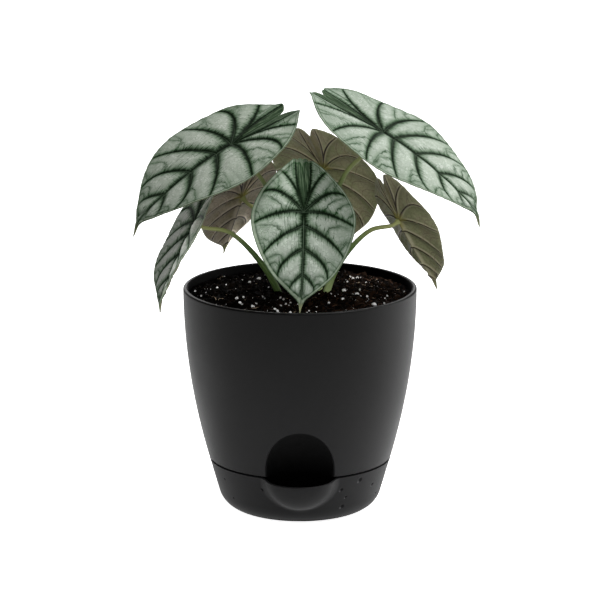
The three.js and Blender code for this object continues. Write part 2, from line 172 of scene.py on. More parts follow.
# %% [markdown]
# ## Writing a finish as a sum
#
# A procedural finish is arithmetic on numbers that vary over the surface. Wiring Math nodes by hand
# hides it, so a small class wraps a node's output, and + or * on it adds the Math node. Every other
# node comes from one method, which fills its sockets with numbers, links or colours in six
# hexadecimal digits. Coats of colour are laid one over the other, each with its share.

# %% Shader maths


class Amount:
    """One output of a node. + - * / and ** on it add Math nodes, with numbers or other outputs."""

    def __init__(self, finish, socket):
        self.finish = finish
        self.socket = socket

    def __add__(self, other):
        return self.finish.maths("ADD", self, other)

    def __sub__(self, other):
        return self.finish.maths("SUBTRACT", self, other)

    def __rsub__(self, other):
        return self.finish.maths("SUBTRACT", other, self)

    def __mul__(self, other):
        return self.finish.maths("MULTIPLY", self, other)

    def __truediv__(self, other):
        return self.finish.maths("DIVIDE", self, other)

    def __rtruediv__(self, other):
        return self.finish.maths("DIVIDE", other, self)

    def __pow__(self, other):
        return self.finish.maths("POWER", self, other)

    __radd__ = __add__
    __rmul__ = __mul__


def colour(code):
    """A colour from its six hexadecimal digits, as red, green, blue and 1 in linear light."""
    parts = np.array([int(code[k : k + 2], 16) for k in (0, 2, 4)]) / 255
    linear = np.where(parts <= 0.04045, parts / 12.92, ((parts + 0.055) / 1.055) ** 2.4)
    return (*linear.tolist(), 1.0)


class Finish:
    """A material with a Principled shader, whose sockets are given by their names."""

    def __init__(self, name, **even):
        self.material = bpy.data.materials.new(name)
        self.material.use_nodes = True
        self.nodes = self.material.node_tree.nodes
        self.shader = self.nodes["Principled BSDF"]
        self.wear(**even)

    def fill(self, socket, value):
        """Gives a socket a link, a number, a vector or a colour in six digits."""
        if isinstance(value, Amount):
            self.material.node_tree.links.new(value.socket, socket)
        else:
            socket.default_value = colour(value) if isinstance(value, str) else value

    def wear(self, **sockets):
        """Fills the shader's sockets and returns the material."""
        for socket, value in sockets.items():
            self.fill(self.shader.inputs[socket.replace("_", " ")], value)
        return self.material

    def node(self, kind, inputs, output=0, **settings):
        """Adds a node of this kind, sets it up, fills its inputs by name or number, and returns one
        of its outputs."""
        node = self.nodes.new("ShaderNode" + kind)
        for key, value in settings.items():
            setattr(node, key, value)
        for key, value in inputs.items():
            self.fill(node.inputs[key], value)
        return Amount(self, node.outputs[output])

    def maths(self, operation, *numbers):
        """One Math node with these numbers."""
        return self.node("Math", dict(enumerate(numbers)), operation=operation)

    def most(self, first, second):
        """The larger of two amounts."""
        return self.maths("MAXIMUM", first, second)

    def carried(self, name, output="Fac"):
        """A number or a place that the piece's points or corners carry."""
        return self.node("Attribute", {}, output, attribute_name=name)

    def step(self, low, high, value):
        """0 where the value is low, 1 where it is high, with a soft change between them."""
        inputs = {"Value": value, "From Min": low, "From Max": high}
        return self.node("MapRange", inputs, interpolation_type="SMOOTHSTEP")

    def near(self, low, high, value):
        """1 where the value is low and 0 where it is high: 1 less the step."""
        return 1 - self.step(low, high, value)

    def mix(self, share, first, second):
        """A colour between two: the first where the share is 0, the second where it is 1."""
        return self.node("Mix", {0: share, 6: first, 7: second}, 2, data_type="RGBA")

    def coats(self, tone, *coats):
        """A tone under coats of colour, each of them a share and a colour."""
        for share, over in coats:
            tone = self.mix(share, tone, over)
        return tone

    def times(self, vector, factors):
        """A vector or a colour times another, part by part."""
        return self.node("VectorMath", {0: vector, 1: factors}, operation="MULTIPLY")

    def place(self):
        """The place in the part, in metres."""
        return self.node("TexCoord", {}, "Object")

    def apart(self, vector):
        """The three parts of a vector."""
        return [self.node("SeparateXYZ", {0: vector}, k) for k in range(3)]

    def vector(self, x, y, z):
        """A vector from its three parts."""
        return self.node("CombineXYZ", {0: x, 1: y, 2: z})

    def noise(self, where, scale, detail=2.0, roughness=0.5):
        """Cloudy random numbers from about 0.2 to 0.8, with a mean of a half."""
        inputs = {"Vector": where, "Scale": scale, "Detail": detail, "Roughness": roughness}
        return self.node("TexNoise", inputs)

    def netting(self, flat, scale, sway):
        """Distance to the borders of random cells, as of a net of fine veins. Noise pushes the place
        by up to the sway first, so that the borders bend."""
        push = self.node("TexNoise", {"Vector": flat, "Scale": scale * 1.5, "Detail": 2.0}, 1)
        bent = self.node("VectorMath", {0: push, 1: (sway, sway, 0), 2: flat}, operation="MULTIPLY_ADD")
        return self.node("TexVoronoi", {"Vector": bent, "Scale": scale}, feature="DISTANCE_TO_EDGE")

    def blob(self, spot, centre, inner, outer):
        """1 up to the inner distance from a centre and 0 past the outer one, all in millimetres."""
        away = self.node("VectorMath", {0: spot, 1: tuple(centre * MM)}, "Value", operation="DISTANCE")
        return self.near(inner * MM, outer * MM, away)

    def relief(self, height, depth):
        """The normal of a surface whose height varies from 0 to 1 times a depth in millimetres."""
        return self.node("Bump", {"Height": height, "Distance": depth * MM, "Strength": 1.0})


# %% [markdown]
# ## The camera
#
# The camera stands two metres in front of the plant, a little above it, with a long lens, so that
# the pot's sides hardly converge. It comes early, because the grains on the mix and the dents of the
# tray are placed where they show: a picture point becomes a ray, and the ray meets the surface.

# %% Camera
LOOK_AT = np.array([0, 0, 140.6])
DISTANCE = 2100
ELEVATION = math.radians(13.43)
PICTURE = 600
LENS = 189.8
SENSOR = 36

BACK = np.array([0, -math.cos(ELEVATION), math.sin(ELEVATION)])
UP = np.array([0, math.sin(ELEVATION), math.cos(ELEVATION)])
EYE = LOOK_AT + DISTANCE * BACK

camera = added("camera", bpy.data.cameras.new("camera"))
camera.data.lens = LENS
camera.data.sensor_width = SENSOR
camera.data.clip_end = 50
camera.location = EYE * MM
camera.rotation_euler = (math.pi / 2 - ELEVATION, 0, 0)
bpy.context.scene.camera = camera


def pixel_ray(across, down):
    """The direction from the eye through a picture point: straight ahead, plus the point's distances
    from the middle to the right and up, in shares of the focal length."""
    pixel = SENSOR / LENS / PICTURE
    right = (np.asarray(across) - PICTURE / 2) * pixel
    above = (PICTURE / 2 - np.asarray(down)) * pixel
    return -BACK + right[..., None] * np.array([1, 0, 0]) + above[..., None] * UP


def seen_at(across, down, height):
    """Where the ray through a picture point meets a level: the eye plus the ray times the share at
    which the ray has fallen that far."""
    ray = pixel_ray(across, down)
    share = (height - EYE[2]) / ray[..., 2]
    return EYE + ray * share[..., None]


print("The camera stands at", EYE.round(1), "mm")

# %% [markdown]
# ## The studio
#
# A white floor glows a little, as a lit table does, so that it stays white and keeps only a soft
# shadow. The pot mirrors it, but it lights nothing, or the leaves would have no shadows. The key
# light hangs overhead, and the top leaves shade the ones below. A large light on the right gives the
# pot its bright flank, a panel behind shines in the lip, and weak ones fill from the left, the front
# and low in front, for the undersides. The surroundings are dim, which keeps the pot dark.

# %% Floor and lights
FLOOR_REACH = 6000
FLOOR_GLOW = 0.88
SURROUNDINGS = 0.12
LIGHT_AIM = np.array([0, 0, 0.2])


def soft_light(name, place, size, power, mirrored=True):
    """A square area light at a place in metres, turned to the plant. Where it isn't mirrored, glossy
    surfaces don't reflect it."""
    lamp = added(name, bpy.data.lights.new(name, "AREA"))
    lamp.data.size = size
    lamp.data.energy = power
    lamp.location = place
    lamp.visible_glossy = mirrored
    x, y, z = LIGHT_AIM - np.array(place)
    tilt = math.pi / 2 + math.atan2(z, math.hypot(x, y))
    lamp.rotation_euler = (tilt, 0, math.atan2(-x, y))


floor_points = np.array([[-1, -1, 0], [1, -1, 0], [1, 1, 0], [-1, 1, 0]]) * FLOOR_REACH
floor_finish = Finish("white_floor", Roughness=0.9, Base_Color="f4f4f4", Specular_IOR_Level=0.1)
floor_material = floor_finish.wear(Emission_Color="ffffff", Emission_Strength=FLOOR_GLOW)
floor = make_piece("floor", floor_points, np.array([[0, 1, 2, 3]]), materials=[floor_material])
floor.visible_diffuse = False

soft_light("key", (0.48, 0.03, 1.5), 0.25, 20)
soft_light("right_flank", (1.35, 0.35, 0.6), 0.9, 18)
soft_light("back_panel", (-0.2, 2.6, 0.95), 1.6, 26)
soft_light("left_fill", (-1.6, -0.4, 0.7), 0.8, 10, mirrored=False)
soft_light("front_fill", (0.35, -1.75, 1.35), 0.9, 9, mirrored=False)
soft_light("low_bounce", (0.2, -1.6, 0.1), 1.0, 13, mirrored=False)

world = bpy.data.worlds.new("surroundings")
world.use_nodes = True
glow = world.node_tree.nodes["Background"].inputs
glow["Color"].default_value = (1, 1, 1, 1)
glow["Strength"].default_value = SURROUNDINGS
bpy.context.scene.world = world
bpy.context.scene.view_settings.view_transform = "Standard"
print("Soft lights round the plant:", len(bpy.data.lights))

# %% [markdown]
# ## The pot's sizes
#
# The outside wall of the pot steepens as it rises, so its radius is a square law of the height. The
# finish asks this law too: what lies nearer the axis than the wall is inside.

# %% Pot sizes
POT_HEIGHT = 150
RIM_RADIUS = 77.5
SEAM_HEIGHT = 34
SEAM_RADIUS = 60.7
SEAM_SLOPE = 0.288
SEAM_GROOVE = 0.9
FOOT_FILLET = 15.5
POT_WALL = 2.8
LIP_WALL = 3.3
TRAY_WALL = 2.5
FLOOR = 2.6
POT_FLOOR_HEIGHT = 22
GAP = 0.3
MOUTH = {"half_width": 24.6, "depth": 20, "rise": 34.8, "centre": 65, "wall": 2.4}
BOWL = {"half_width": 22.7, "reach": 18, "drop": 20.3, "centre": 58, "wall": 1.8, "dip": 0.05}
DRAIN = {"radius": 3, "ring": 24, "count": 6}
FOOT = {"radius": 7, "ring": 31, "count": 4}
ROUND = 224


def pot_radius(height):
    """Outside radius above the seam: the seam's, plus the seam's slope times the rise, less a square
    term that brings the rim to its own radius."""
    rise = POT_HEIGHT - SEAM_HEIGHT
    t = (height - SEAM_HEIGHT) / rise
    fall = SEAM_RADIUS + SEAM_SLOPE * rise - RIM_RADIUS
    return SEAM_RADIUS + SEAM_SLOPE * rise * t - fall * t * t


def inner_radius(height):
    """Inside radius of the pot: the outside less the wall, which thickens near the lip."""
    wall = POT_WALL + (LIP_WALL - POT_WALL) * np.clip((height - POT_HEIGHT + 20) / 20, 0, 1)
    return pot_radius(height) - wall


def tray_radius(height):
    """Outside radius of the tray's straight wall."""
    return SEAM_RADIUS - SEAM_SLOPE * (SEAM_HEIGHT - height)


print("Radius of the pot half way up:", round(pot_radius(POT_HEIGHT / 2), 1), "mm")

# %% [markdown]
# ## The black plastic
#
# Pot and tray are moulded in the same matte black plastic. Its look is almost all in its gloss: a
# very dark base, a broad sheen, and a fine grain from the mould. Low down it is painted a little
# greyer, as painted light from below, and inside the fill mouth and the pot it is painted blackest,
# as painted shade, with a little painted light high in the mouth. The tray has had knocks, which
# could be modelled, but are so small that the finish can make them: each is a smooth dip of the
# distance to its centre, with painted shade inside and a painted highlight at its lower left edge.

# %% Plastic finish
SHADED_INSIDE_BAND = np.array([-2.6, -1.9]) * MM
BOUNCE_LIGHT_LOW = np.array([30, 140]) * MM
LIT_FROM = np.array([40, 66]) * MM
LIT_TO = np.array([72, 90]) * MM
DENT_PIT_AND_SHADE = (0.25, 0.9)
DENT_HIGHLIGHT = (0.1, 0.65)
HIGHLIGHT_PLACE = np.array([-0.7, 0, -0.6])


def black_plastic(name, gloss, dents=()):
    """Matte black plastic with a mould's grain, faint rubs and, if any, dents, whose parts are
    shares of their size. What lies nearer the axis than the middle of the pot's wall is inside, and
    is painted blacker as shade, with a faint band of painted light at the height of the fill mouth."""
    finish = Finish(name, Specular_IOR_Level=0.12)
    spot = finish.place()
    x, y, z = finish.apart(spot)
    # Painted shade: inside the pot and the fill mouth the plastic is blackest.
    inside = finish.near(*SHADED_INSIDE_BAND, (x * x + y * y) ** 0.5 - pot_radius(z / MM) * MM)
    # Painted light: the plastic is greyer low down, standing in for light from below.
    low = finish.near(*BOUNCE_LIGHT_LOW, z)
    # Painted light: a faint lighter band inside, at the height of the fill mouth.
    lit_inside = finish.step(*LIT_FROM, z) * finish.near(*LIT_TO, z)
    rubs = finish.noise(spot, 22, detail=4)
    grain = finish.noise(spot, 1500)
    pit_and_shade, painted_highlight = 0.0, 0.0
    # Each dent is a real dip in the surface, with painted shade in its pit and a painted highlight at its
    # lower left edge.
    for centre, size in dents:
        pit_and_shade = finish.blob(spot, centre, *(share * size for share in DENT_PIT_AND_SHADE)) + pit_and_shade
        lit = centre + HIGHLIGHT_PLACE * size
        painted_highlight = finish.blob(spot, lit, *(share * size for share in DENT_HIGHLIGHT)) + painted_highlight
    tone = finish.coats(
        finish.mix(rubs, "010101", "040404"),
        (low, finish.mix(rubs, "111111", "1c1c1d")),
        (inside, finish.mix(lit_inside, "000000", "101010")),
        # The painted highlight and the painted shade of the dents.
        (painted_highlight * 0.8, "5c5c5e"),
        (pit_and_shade * 0.8, "000000"),
    )
    rough = gloss + rubs * 0.16 + pit_and_shade * 0.3 + inside * 0.3
    skin = finish.relief(grain * 0.25 - pit_and_shade * 4, 0.2)
    return finish.wear(Base_Color=tone, Roughness=rough, Normal=skin)


# %% [markdown]
# ## The pot
#
# A pot is a turned shape: its whole skin is one profile carried round the axis. A Screw modifier
# could turn it, but as a table of points it is made like every other piece. The fill mouth can't be
# turned, so its alcove is a dome over an upright shaft: a walled dome is joined to the pot, and then
# the dome's inside is cut away.

# %% Turned shapes
SHOULDER_EDGE = 0.5
OUTER_LIP = 1.25
INNER_LIP = 0.9


def arc(centre, radius, start, end, count):
    """Points of an arc of a profile, from one angle to another in degrees."""
    angle = np.radians(np.linspace(start, end, count))
    return stack(centre[0] + radius * np.cos(angle), centre[1] + radius * np.sin(angle))


def wall_line(radius_at, start, end, count):
    """Points of a wall of the profile, whose radius at each height comes from a law."""
    height = np.linspace(start, end, count)
    return stack(radius_at(height), height)


def pot_profiles():
    """The pot's skin from the axis under its floor, out over the skirt and the shoulder, up the
    wall, over the lip, down the inside and back to the axis, and the same pot filled to its lip."""
    shoulder = SEAM_HEIGHT + SEAM_GROOVE
    skirt = [tray_radius(h) - TRAY_WALL - 2 * GAP for h in (POT_FLOOR_HEIGHT, SEAM_HEIGHT)]
    ledge = pot_radius(shoulder)
    low = [[0, POT_FLOOR_HEIGHT], [skirt[0], POT_FLOOR_HEIGHT], [skirt[1], shoulder]]
    low += [[ledge - 3 * SHOULDER_EDGE, shoulder], [ledge - SHOULDER_EDGE, shoulder]]
    outside = wall_line(pot_radius, shoulder + SHOULDER_EDGE, POT_HEIGHT - OUTER_LIP, 70)
    top_out = arc((RIM_RADIUS - OUTER_LIP, POT_HEIGHT - OUTER_LIP), OUTER_LIP, 8, 90, 7)
    lip = inner_radius(POT_HEIGHT - INNER_LIP) + INNER_LIP
    top_in = arc((lip, POT_HEIGHT - INNER_LIP), INNER_LIP, 90, 176, 7)
    inside = wall_line(inner_radius, POT_HEIGHT - INNER_LIP - 0.6, SEAM_HEIGHT + 6, 40)
    floor, corner = POT_FLOOR_HEIGHT + FLOOR, skirt[0] - POT_WALL
    over = np.vstack([low, outside, top_out, top_in, inside[:1]])
    filled = np.vstack([over, [[0, POT_HEIGHT]]])
    return np.vstack([over, inside[1:], [[corner, floor + 2], [corner - 2, floor], [0, floor]]]), filled


def dome(grow, columns=160, rows=48):
    """The alcove's dome over its upright elliptic shaft: a quarter circle over a straight line,
    turned, then stretched to the mouth's sizes, grown outward."""
    profile = np.vstack([[[0, -1], [1, -1]], arc((0, 0), 1, 0, 90, rows)])
    stretch = np.array([MOUTH["half_width"], MOUTH["depth"], MOUTH["rise"]]) + grow
    return turned(profile, columns) * stretch + [0, -MOUTH["centre"], SEAM_HEIGHT]


def cut(piece, tool, operation):
    """The piece joined with the tool, cut by it, or kept only inside it. The tool is used up."""
    step = piece.modifiers.new(operation, "BOOLEAN")
    step.operation = operation
    step.solver = "MANIFOLD"
    step.object = tool
    done = piece.evaluated_get(bpy.context.evaluated_depsgraph_get())
    result = bpy.data.meshes.new_from_object(done)
    piece.modifiers.clear()
    piece.data = result
    bpy.data.objects.remove(tool)


def posts(piece, operation, kind, bottom, top, first=0.0):
    """Joins a ring of upright round posts to the piece, or cuts the holes that they would leave."""
    rim = np.array([[0, bottom], [kind["radius"], bottom], [kind["radius"], top], [0, top]])
    for angle in first + 2 * math.pi * np.arange(kind["count"]) / kind["count"]:
        centre = [kind["ring"] * math.cos(angle), kind["ring"] * math.sin(angle), 0]
        cut(piece, turned_piece("post", turned(rim, 32) + centre), operation)


def dress(piece, material):
    """One material all over, also on the faces that a cut has left."""
    piece.data.materials.clear()
    piece.data.materials.append(material)


# %% Make the pot
profile, filled_profile = pot_profiles()
pot = turned_piece("pot_shell", turned(profile, ROUND))
alcove_wall = turned_piece("alcove_wall", dome(MOUTH["wall"]))
cut(alcove_wall, turned_piece("pot_space", turned(filled_profile, ROUND)), "INTERSECT")
cut(pot, alcove_wall, "UNION")
cut(pot, turned_piece("alcove_space", dome(0)), "DIFFERENCE")
posts(pot, "DIFFERENCE", DRAIN, POT_FLOOR_HEIGHT - 1, POT_FLOOR_HEIGHT + FLOOR + 1)
posts(pot, "UNION", FOOT, FLOOR + GAP, POT_FLOOR_HEIGHT + FLOOR / 2, first=math.pi / 4)
dress(pot, black_plastic("pot_black_plastic", 0.42))
pot.data.set_sharp_from_angle(angle=math.radians(35))
belongs(pot, "pot_plastic", "pot")

# %% [markdown]
# ## The tray
#
# The tray is turned as well, but its wall swells in front into the half bowl of the fill mouth. A
# bowl that is joined on would leave a hard inner corner. So each point of the same grid moves forward
# to the bowl where the bowl lies further forward, and a smooth maximum rounds the corner, as a mould
# does. The rim dips a little over the bowl.

# %% Tray surface
BOWL_TURN = 0.92
BOWL_ANGLE = math.radians(28)
BOWL_CORNER = 5
BOWL_COSINE = 0.8
BOWL_LOWEST = 2
TRAY_ROWS = 44
TRAY_EDGE = 0.35


def swelling(x, z, shrink):
    """How far forward the half bowl reaches at a place across and a height: its centre plus its
    reach times the root of 1 - q, where q is the squared place over the bowl's half sizes. Past the
    turn the root goes on as a straight line, so that the bowl runs into the wall."""
    q = (x / (BOWL["half_width"] - shrink)) ** 2 + ((SEAM_HEIGHT - z) / (BOWL["drop"] - shrink)) ** 2
    last = math.sqrt(1 - BOWL_TURN)
    root = np.where(q < BOWL_TURN, np.sqrt(np.maximum(1 - q, 0)), last - 0.5 / last * (q - BOWL_TURN))
    return BOWL["centre"] + (BOWL["reach"] - shrink) * root


def smooth_max(a, b):
    """The larger of two lengths, with the corner where they cross rounded over its width."""
    near = np.maximum(BOWL_CORNER - np.abs(a - b), 0) / BOWL_CORNER
    return np.maximum(a, b) + near**2 * BOWL_CORNER / 4


def tray_skin(inset, shrink, bottom):
    """One face of the tray from the axis to the rim: flat floor, rounded foot and leaning wall,
    swollen in front, on columns that lie closer together across the bowl."""
    front = np.linspace(-BOWL_ANGLE, BOWL_ANGLE, 121)
    angle = np.append(front, np.linspace(BOWL_ANGLE, 2 * math.pi - BOWL_ANGLE, 170)[1:-1])
    lean = math.atan(SEAM_SLOPE)
    level = inset / math.cos(lean)
    radius = FOOT_FILLET - inset
    centre = tray_radius(bottom + radius) - level - radius / math.cos(lean), bottom + radius
    foot = arc(centre, radius, -90, -math.degrees(lean), 16)
    flat = np.linspace(0, centre[0], 6)[:-1]
    # The rim dips where it stands forward, and the wall there stands less forward once it dips.
    top = np.full(len(angle), float(SEAM_HEIGHT))
    for _ in range(4):
        wall, x = (tray_radius(top) - level) * np.array([np.cos(angle), np.sin(angle)])
        forward = np.where(np.cos(angle) > 0, smooth_max(wall, swelling(x, top, shrink)), wall)
        top = SEAM_HEIGHT - BOWL["dip"] * np.maximum(forward - SEAM_RADIUS, 0)
    low = np.concatenate([np.full(len(flat), bottom), foot[:, 1]])
    share = np.linspace(0, 1, TRAY_ROWS)[1:, None]
    high = foot[-1, 1] + share * (top - foot[-1, 1])
    height = np.vstack([np.repeat(low[:, None], len(angle), axis=1), high])
    radii = np.concatenate([flat, foot[:, 0]])
    radii = np.vstack([np.repeat(radii[:, None], len(angle), axis=1), tray_radius(high) - level])
    x, forward = radii * np.sin(angle), radii * np.cos(angle)
    swollen = smooth_max(forward, swelling(x, height, shrink))
    in_front = (np.cos(angle) > BOWL_COSINE) & (height > bottom + BOWL_LOWEST)
    return stack(x, -np.where(in_front, swollen, forward), height)


# %% Make the tray
# Each dent's place in the picture, across and down, and its size in millimetres.
TRAY_DENTS = [
    (360, 479.5, 2.4), (372, 484, 1.8), (341.3, 489.5, 1.7), (345.8, 496.8, 1.3), (342, 506, 2),
    (375.8, 492.5, 1.6), (384, 470, 1.2), (262.5, 489.5, 1.7), (225, 479, 1.4), (234, 498, 1.1),
]


def on_tray(across, down):
    """Where the ray through a picture point meets the front of the tray's wall: from a guess of the
    place, the ray is followed to the wall's distance at that height, again and again."""
    ray = pixel_ray(across, down)
    share = (-SEAM_RADIUS - EYE[1]) / ray[1]
    for _ in range(8):
        x, _, z = EYE + ray * share
        share = (-math.sqrt(tray_radius(z) ** 2 - x * x) - EYE[1]) / ray[1]
    return EYE + ray * share


outside = tray_skin(0, 0, 0)
inside = tray_skin(TRAY_WALL, BOWL["wall"], FLOOR)
outside[-1, :, 2] -= TRAY_EDGE
inside[-1, :, 2] -= TRAY_EDGE
crest = [outside[-1] * share + inside[-1] * (1 - share) + [0, 0, TRAY_EDGE] for share in (0.8, 0.2)]
tray_points = np.concatenate([outside, crest, inside[::-1]])
dents = [(on_tray(across, down), size) for across, down, size in TRAY_DENTS]
tray_plastic = black_plastic("tray_black_plastic", 0.48, dents)
tray = turned_piece("tray_shell", tray_points, materials=[tray_plastic])
belongs(tray, "tray_plastic", "water_tray")

# %% [markdown]
# ## The potting mix
#
# Potting mix is bark and coir fibre, nearly black when damp, with white grains of perlite. The body
# is a low mound with soft hollows. Over it lie dark crumbs, brown fibres and perlite, each kind one
# mesh of many small closed shapes. Particles could strew them, but perlite is what the eye counts:
# the grains that show are placed where they show, and so all kinds come from tables of places.

# %% Mix body
SOIL_EDGE = 144.3
SOIL_CROWN = 147.3
SOIL_REACH = 73.4
RIPPLES = 14
RIPPLE_HEIGHT = 0.03
SHADED_SHARE = 0.15
SHADE_TO = -50
UNSHADED_FROM = 45
random = np.random.default_rng(11)
ripple_turns = random.uniform(0, 2 * np.pi, RIPPLES)
ripple_phases = random.uniform(0, 2 * np.pi, RIPPLES)
ripple_lengths = np.geomspace(13, 2.4, RIPPLES)


def mound_height(x, y):
    """A mound that falls with the square of the distance from the axis."""
    return SOIL_CROWN - (SOIL_CROWN - SOIL_EDGE) * (np.hypot(x, y) / RIM_RADIUS) ** 2


def soil_height(x, y):
    """Height of the mix: the mound, two soft waves, and small waves in random directions, lower
    where they are shorter."""
    height = mound_height(x, y) + 0.5 * np.sin(x / 7 + 1) * np.cos(y / 6)
    height = height + 0.4 * np.sin(x / 3.7 - y / 4.9)
    for turn, phase, length in zip(ripple_turns, ripple_phases, ripple_lengths):
        along = x * math.cos(turn) + y * math.sin(turn)
        height = height + RIPPLE_HEIGHT * length**0.8 * np.sin(2 * np.pi * along / length + phase)
    return height


def painted_side_shade(finish):
    """Painted shade: the mix is darker on the left, where the leaves shade it, than on the right."""
    across = finish.apart(finish.place())[0]
    return SHADED_SHARE + finish.step(SHADE_TO * MM, UNSHADED_FROM * MM, across) * (1 - SHADED_SHARE)


mix_finish = Finish("damp_potting_mix", Roughness=0.92, Specular_IOR_Level=0.03)
clods = mix_finish.noise(mix_finish.place(), 260, detail=6, roughness=0.7)
# Painted shade darkens the mix on the left.
tone = mix_finish.mix(mix_finish.step(0.4, 0.75, clods) * painted_side_shade(mix_finish), "020202", "18110b")
mix_finish.wear(Base_Color=tone, Normal=mix_finish.relief(clods, 1.2))

skirt_in = tray_radius(POT_FLOOR_HEIGHT) - TRAY_WALL - 2 * GAP - POT_WALL - GAP
lowest = POT_FLOOR_HEIGHT + FLOOR + GAP
side = wall_line(inner_radius, SEAM_HEIGHT + 6, SOIL_EDGE - 1, 24) - [GAP, 0]
rings = np.linspace(SOIL_REACH, 0, 110)
top = stack(rings, SOIL_EDGE + 0 * rings)
mix_points = turned(np.vstack([[[0, lowest], [skirt_in, lowest + 2]], side, top]), 300)
surface = mix_points[-len(rings) :]
surface[..., 2] = soil_height(surface[..., 0], surface[..., 1])
mix = turned_piece("potting_mix", mix_points)
cut(mix, turned_piece("alcove_room", dome(MOUTH["wall"] + GAP)), "DIFFERENCE")
dress(mix, mix_finish.material)
belongs(mix, "potting_mix", "soil")

# %% Crumbs
CRUMBS = 2600
CRUMB_SIZES = (0.4, 1.0)
BIG_CRUMB = 1.3
STRETCH = (0.7, 1.2)


def spread(count, reach=71.5):
    """Random places on the mix, clear of the rim and even over its area, as the radius goes with the
    root of a random number."""
    r = reach * np.sqrt(random.random(count))
    a = 2 * np.pi * random.random(count)
    return stack(r * np.cos(a), r * np.sin(a))


def turned_about(points, axis, angle):
    """Points turned about one of the three directions, each row by its own angle."""
    c, s = np.cos(angle)[:, None], np.sin(angle)[:, None]
    j, k = (axis + 1) % 3, (axis + 2) % 3
    out = points.copy()
    out[..., j] = points[..., j] * c - points[..., k] * s
    out[..., k] = points[..., j] * s + points[..., k] * c
    return out


def many(name, points, faces, finish):
    """A piece of the mix from many small shapes with the same faces and a random tint for each."""
    count, size = points.shape[:2]
    corners = faces[None] + (np.arange(count) * size)[:, None, None]
    values = {"tint": np.repeat(random.random(count), size)}
    corners = corners.reshape(-1, faces.shape[1])
    piece = make_piece(name, points, corners, values=values, materials=[finish.material])
    belongs(piece, "potting_mix", "soil")


def lumps(name, places, sizes, subdivisions, ragged, sink, finish):
    """Many small ragged lumps: balls with every point pushed in or out by a random share, stretched,
    turned and sunk into the mix by a share of their size."""
    mould = bmesh.new()
    bmesh.ops.create_icosphere(mould, subdivisions=subdivisions, radius=1)
    ball = np.array([v.co[:] for v in mould.verts])
    faces = np.array([[v.index for v in f.verts] for f in mould.faces])
    mould.free()
    count = len(places)
    points = ball * (1 + ragged * (random.random((count, len(ball), 1)) - 0.5) * 2)
    points = points * random.uniform(*STRETCH, (count, 1, 3)) * sizes[:, None, None]
    for axis in range(3):
        points = turned_about(points, axis, random.uniform(0, 2 * np.pi, count))
    height = soil_height(places[:, 0], places[:, 1]) + sink * sizes
    many(name, points + np.column_stack([places, height])[:, None, :], faces, finish)


crumb_finish = Finish("bark_crumbs", Roughness=0.9, Specular_IOR_Level=0.04)
clods = crumb_finish.noise(crumb_finish.place(), 700, detail=4)
# Painted shade darkens the crumbs on the left.
pale = (crumb_finish.carried("tint") ** 2.5 * 0.8 + clods * 0.2) * painted_side_shade(crumb_finish)
tone = crumb_finish.mix(pale, "020201", "2b1e15")
crumb_finish.wear(Base_Color=tone, Normal=crumb_finish.relief(clods, 0.6))
crumb_spots = spread(CRUMBS)
crumb_sizes = random.uniform(*CRUMB_SIZES, CRUMBS) + BIG_CRUMB * random.random(CRUMBS) ** 6
lumps("mix_crumbs", crumb_spots, crumb_sizes, 1, 0.3, 0.1, crumb_finish)

# %% Fibres
FIBRES = 1500
FIBRE_STEPS = 7
FIBRE_LENGTHS = (2, 6)
FIBRE_WIDTHS = (0.12, 0.42)
FIBRE_LIFT = (0.1, 0.7)


def fibre_lines(places, lengths, widths):
    """Points of thin bent fibres. The middle line runs from its place in a random direction and
    bends with the square of the way along, a little above the mix, and the section is a small
    diamond that narrows to both ends."""
    count = len(places)
    t = np.linspace(0, 1, FIBRE_STEPS)
    heading = random.uniform(0, 2 * np.pi, count)
    bend = random.normal(0, 0.5, count)
    way = heading[:, None] + bend[:, None] * t
    along = stack(np.cos(way), np.sin(way))
    flat = places[:, None, :] + lengths[:, None, None] * (t[:, None] - 0.5) * along
    lift = random.uniform(*FIBRE_LIFT, count)[:, None]
    lift = lift * (1 + random.normal(0, 0.8, count)[:, None] * (t - 0.5))
    middle = stack(flat[..., 0], flat[..., 1], soil_height(flat[..., 0], flat[..., 1]) + lift)
    width = widths[:, None] * np.sin(np.pi * np.clip(t, 0.02, 0.98)) ** 0.6 * (t > 0) * (t < 1)
    across = stack(-np.sin(way), np.cos(way), 0 * way) * width[..., None]
    up = np.array([0, 0, 0.5]) * width[..., None]
    return np.stack([middle + across, middle + up, middle - across, middle - up], axis=2)


fibre_finish = Finish("bark_fibres", Roughness=0.75, Specular_IOR_Level=0.1)
tint = fibre_finish.carried("tint")
# Painted shade darkens the fibres on the left.
tone = fibre_finish.mix(tint ** 2 * painted_side_shade(fibre_finish), "060403", "5c4130")
fibre_finish.wear(Base_Color=fibre_finish.mix(fibre_finish.step(0.94, 0.98, tint) * 0.9, tone, "cbb79d"))
fibre_spots = spread(FIBRES)
fibre_lengths = random.uniform(*FIBRE_LENGTHS, FIBRES)
fibre_widths = random.uniform(*FIBRE_WIDTHS, FIBRES)
fibre_points = fibre_lines(fibre_spots, fibre_lengths, fibre_widths)
fibre_faces = grid_faces(FIBRE_STEPS, 4, closed=True)
many("bark_fibres", fibre_points.reshape(FIBRES, -1, 3), fibre_faces, fibre_finish)

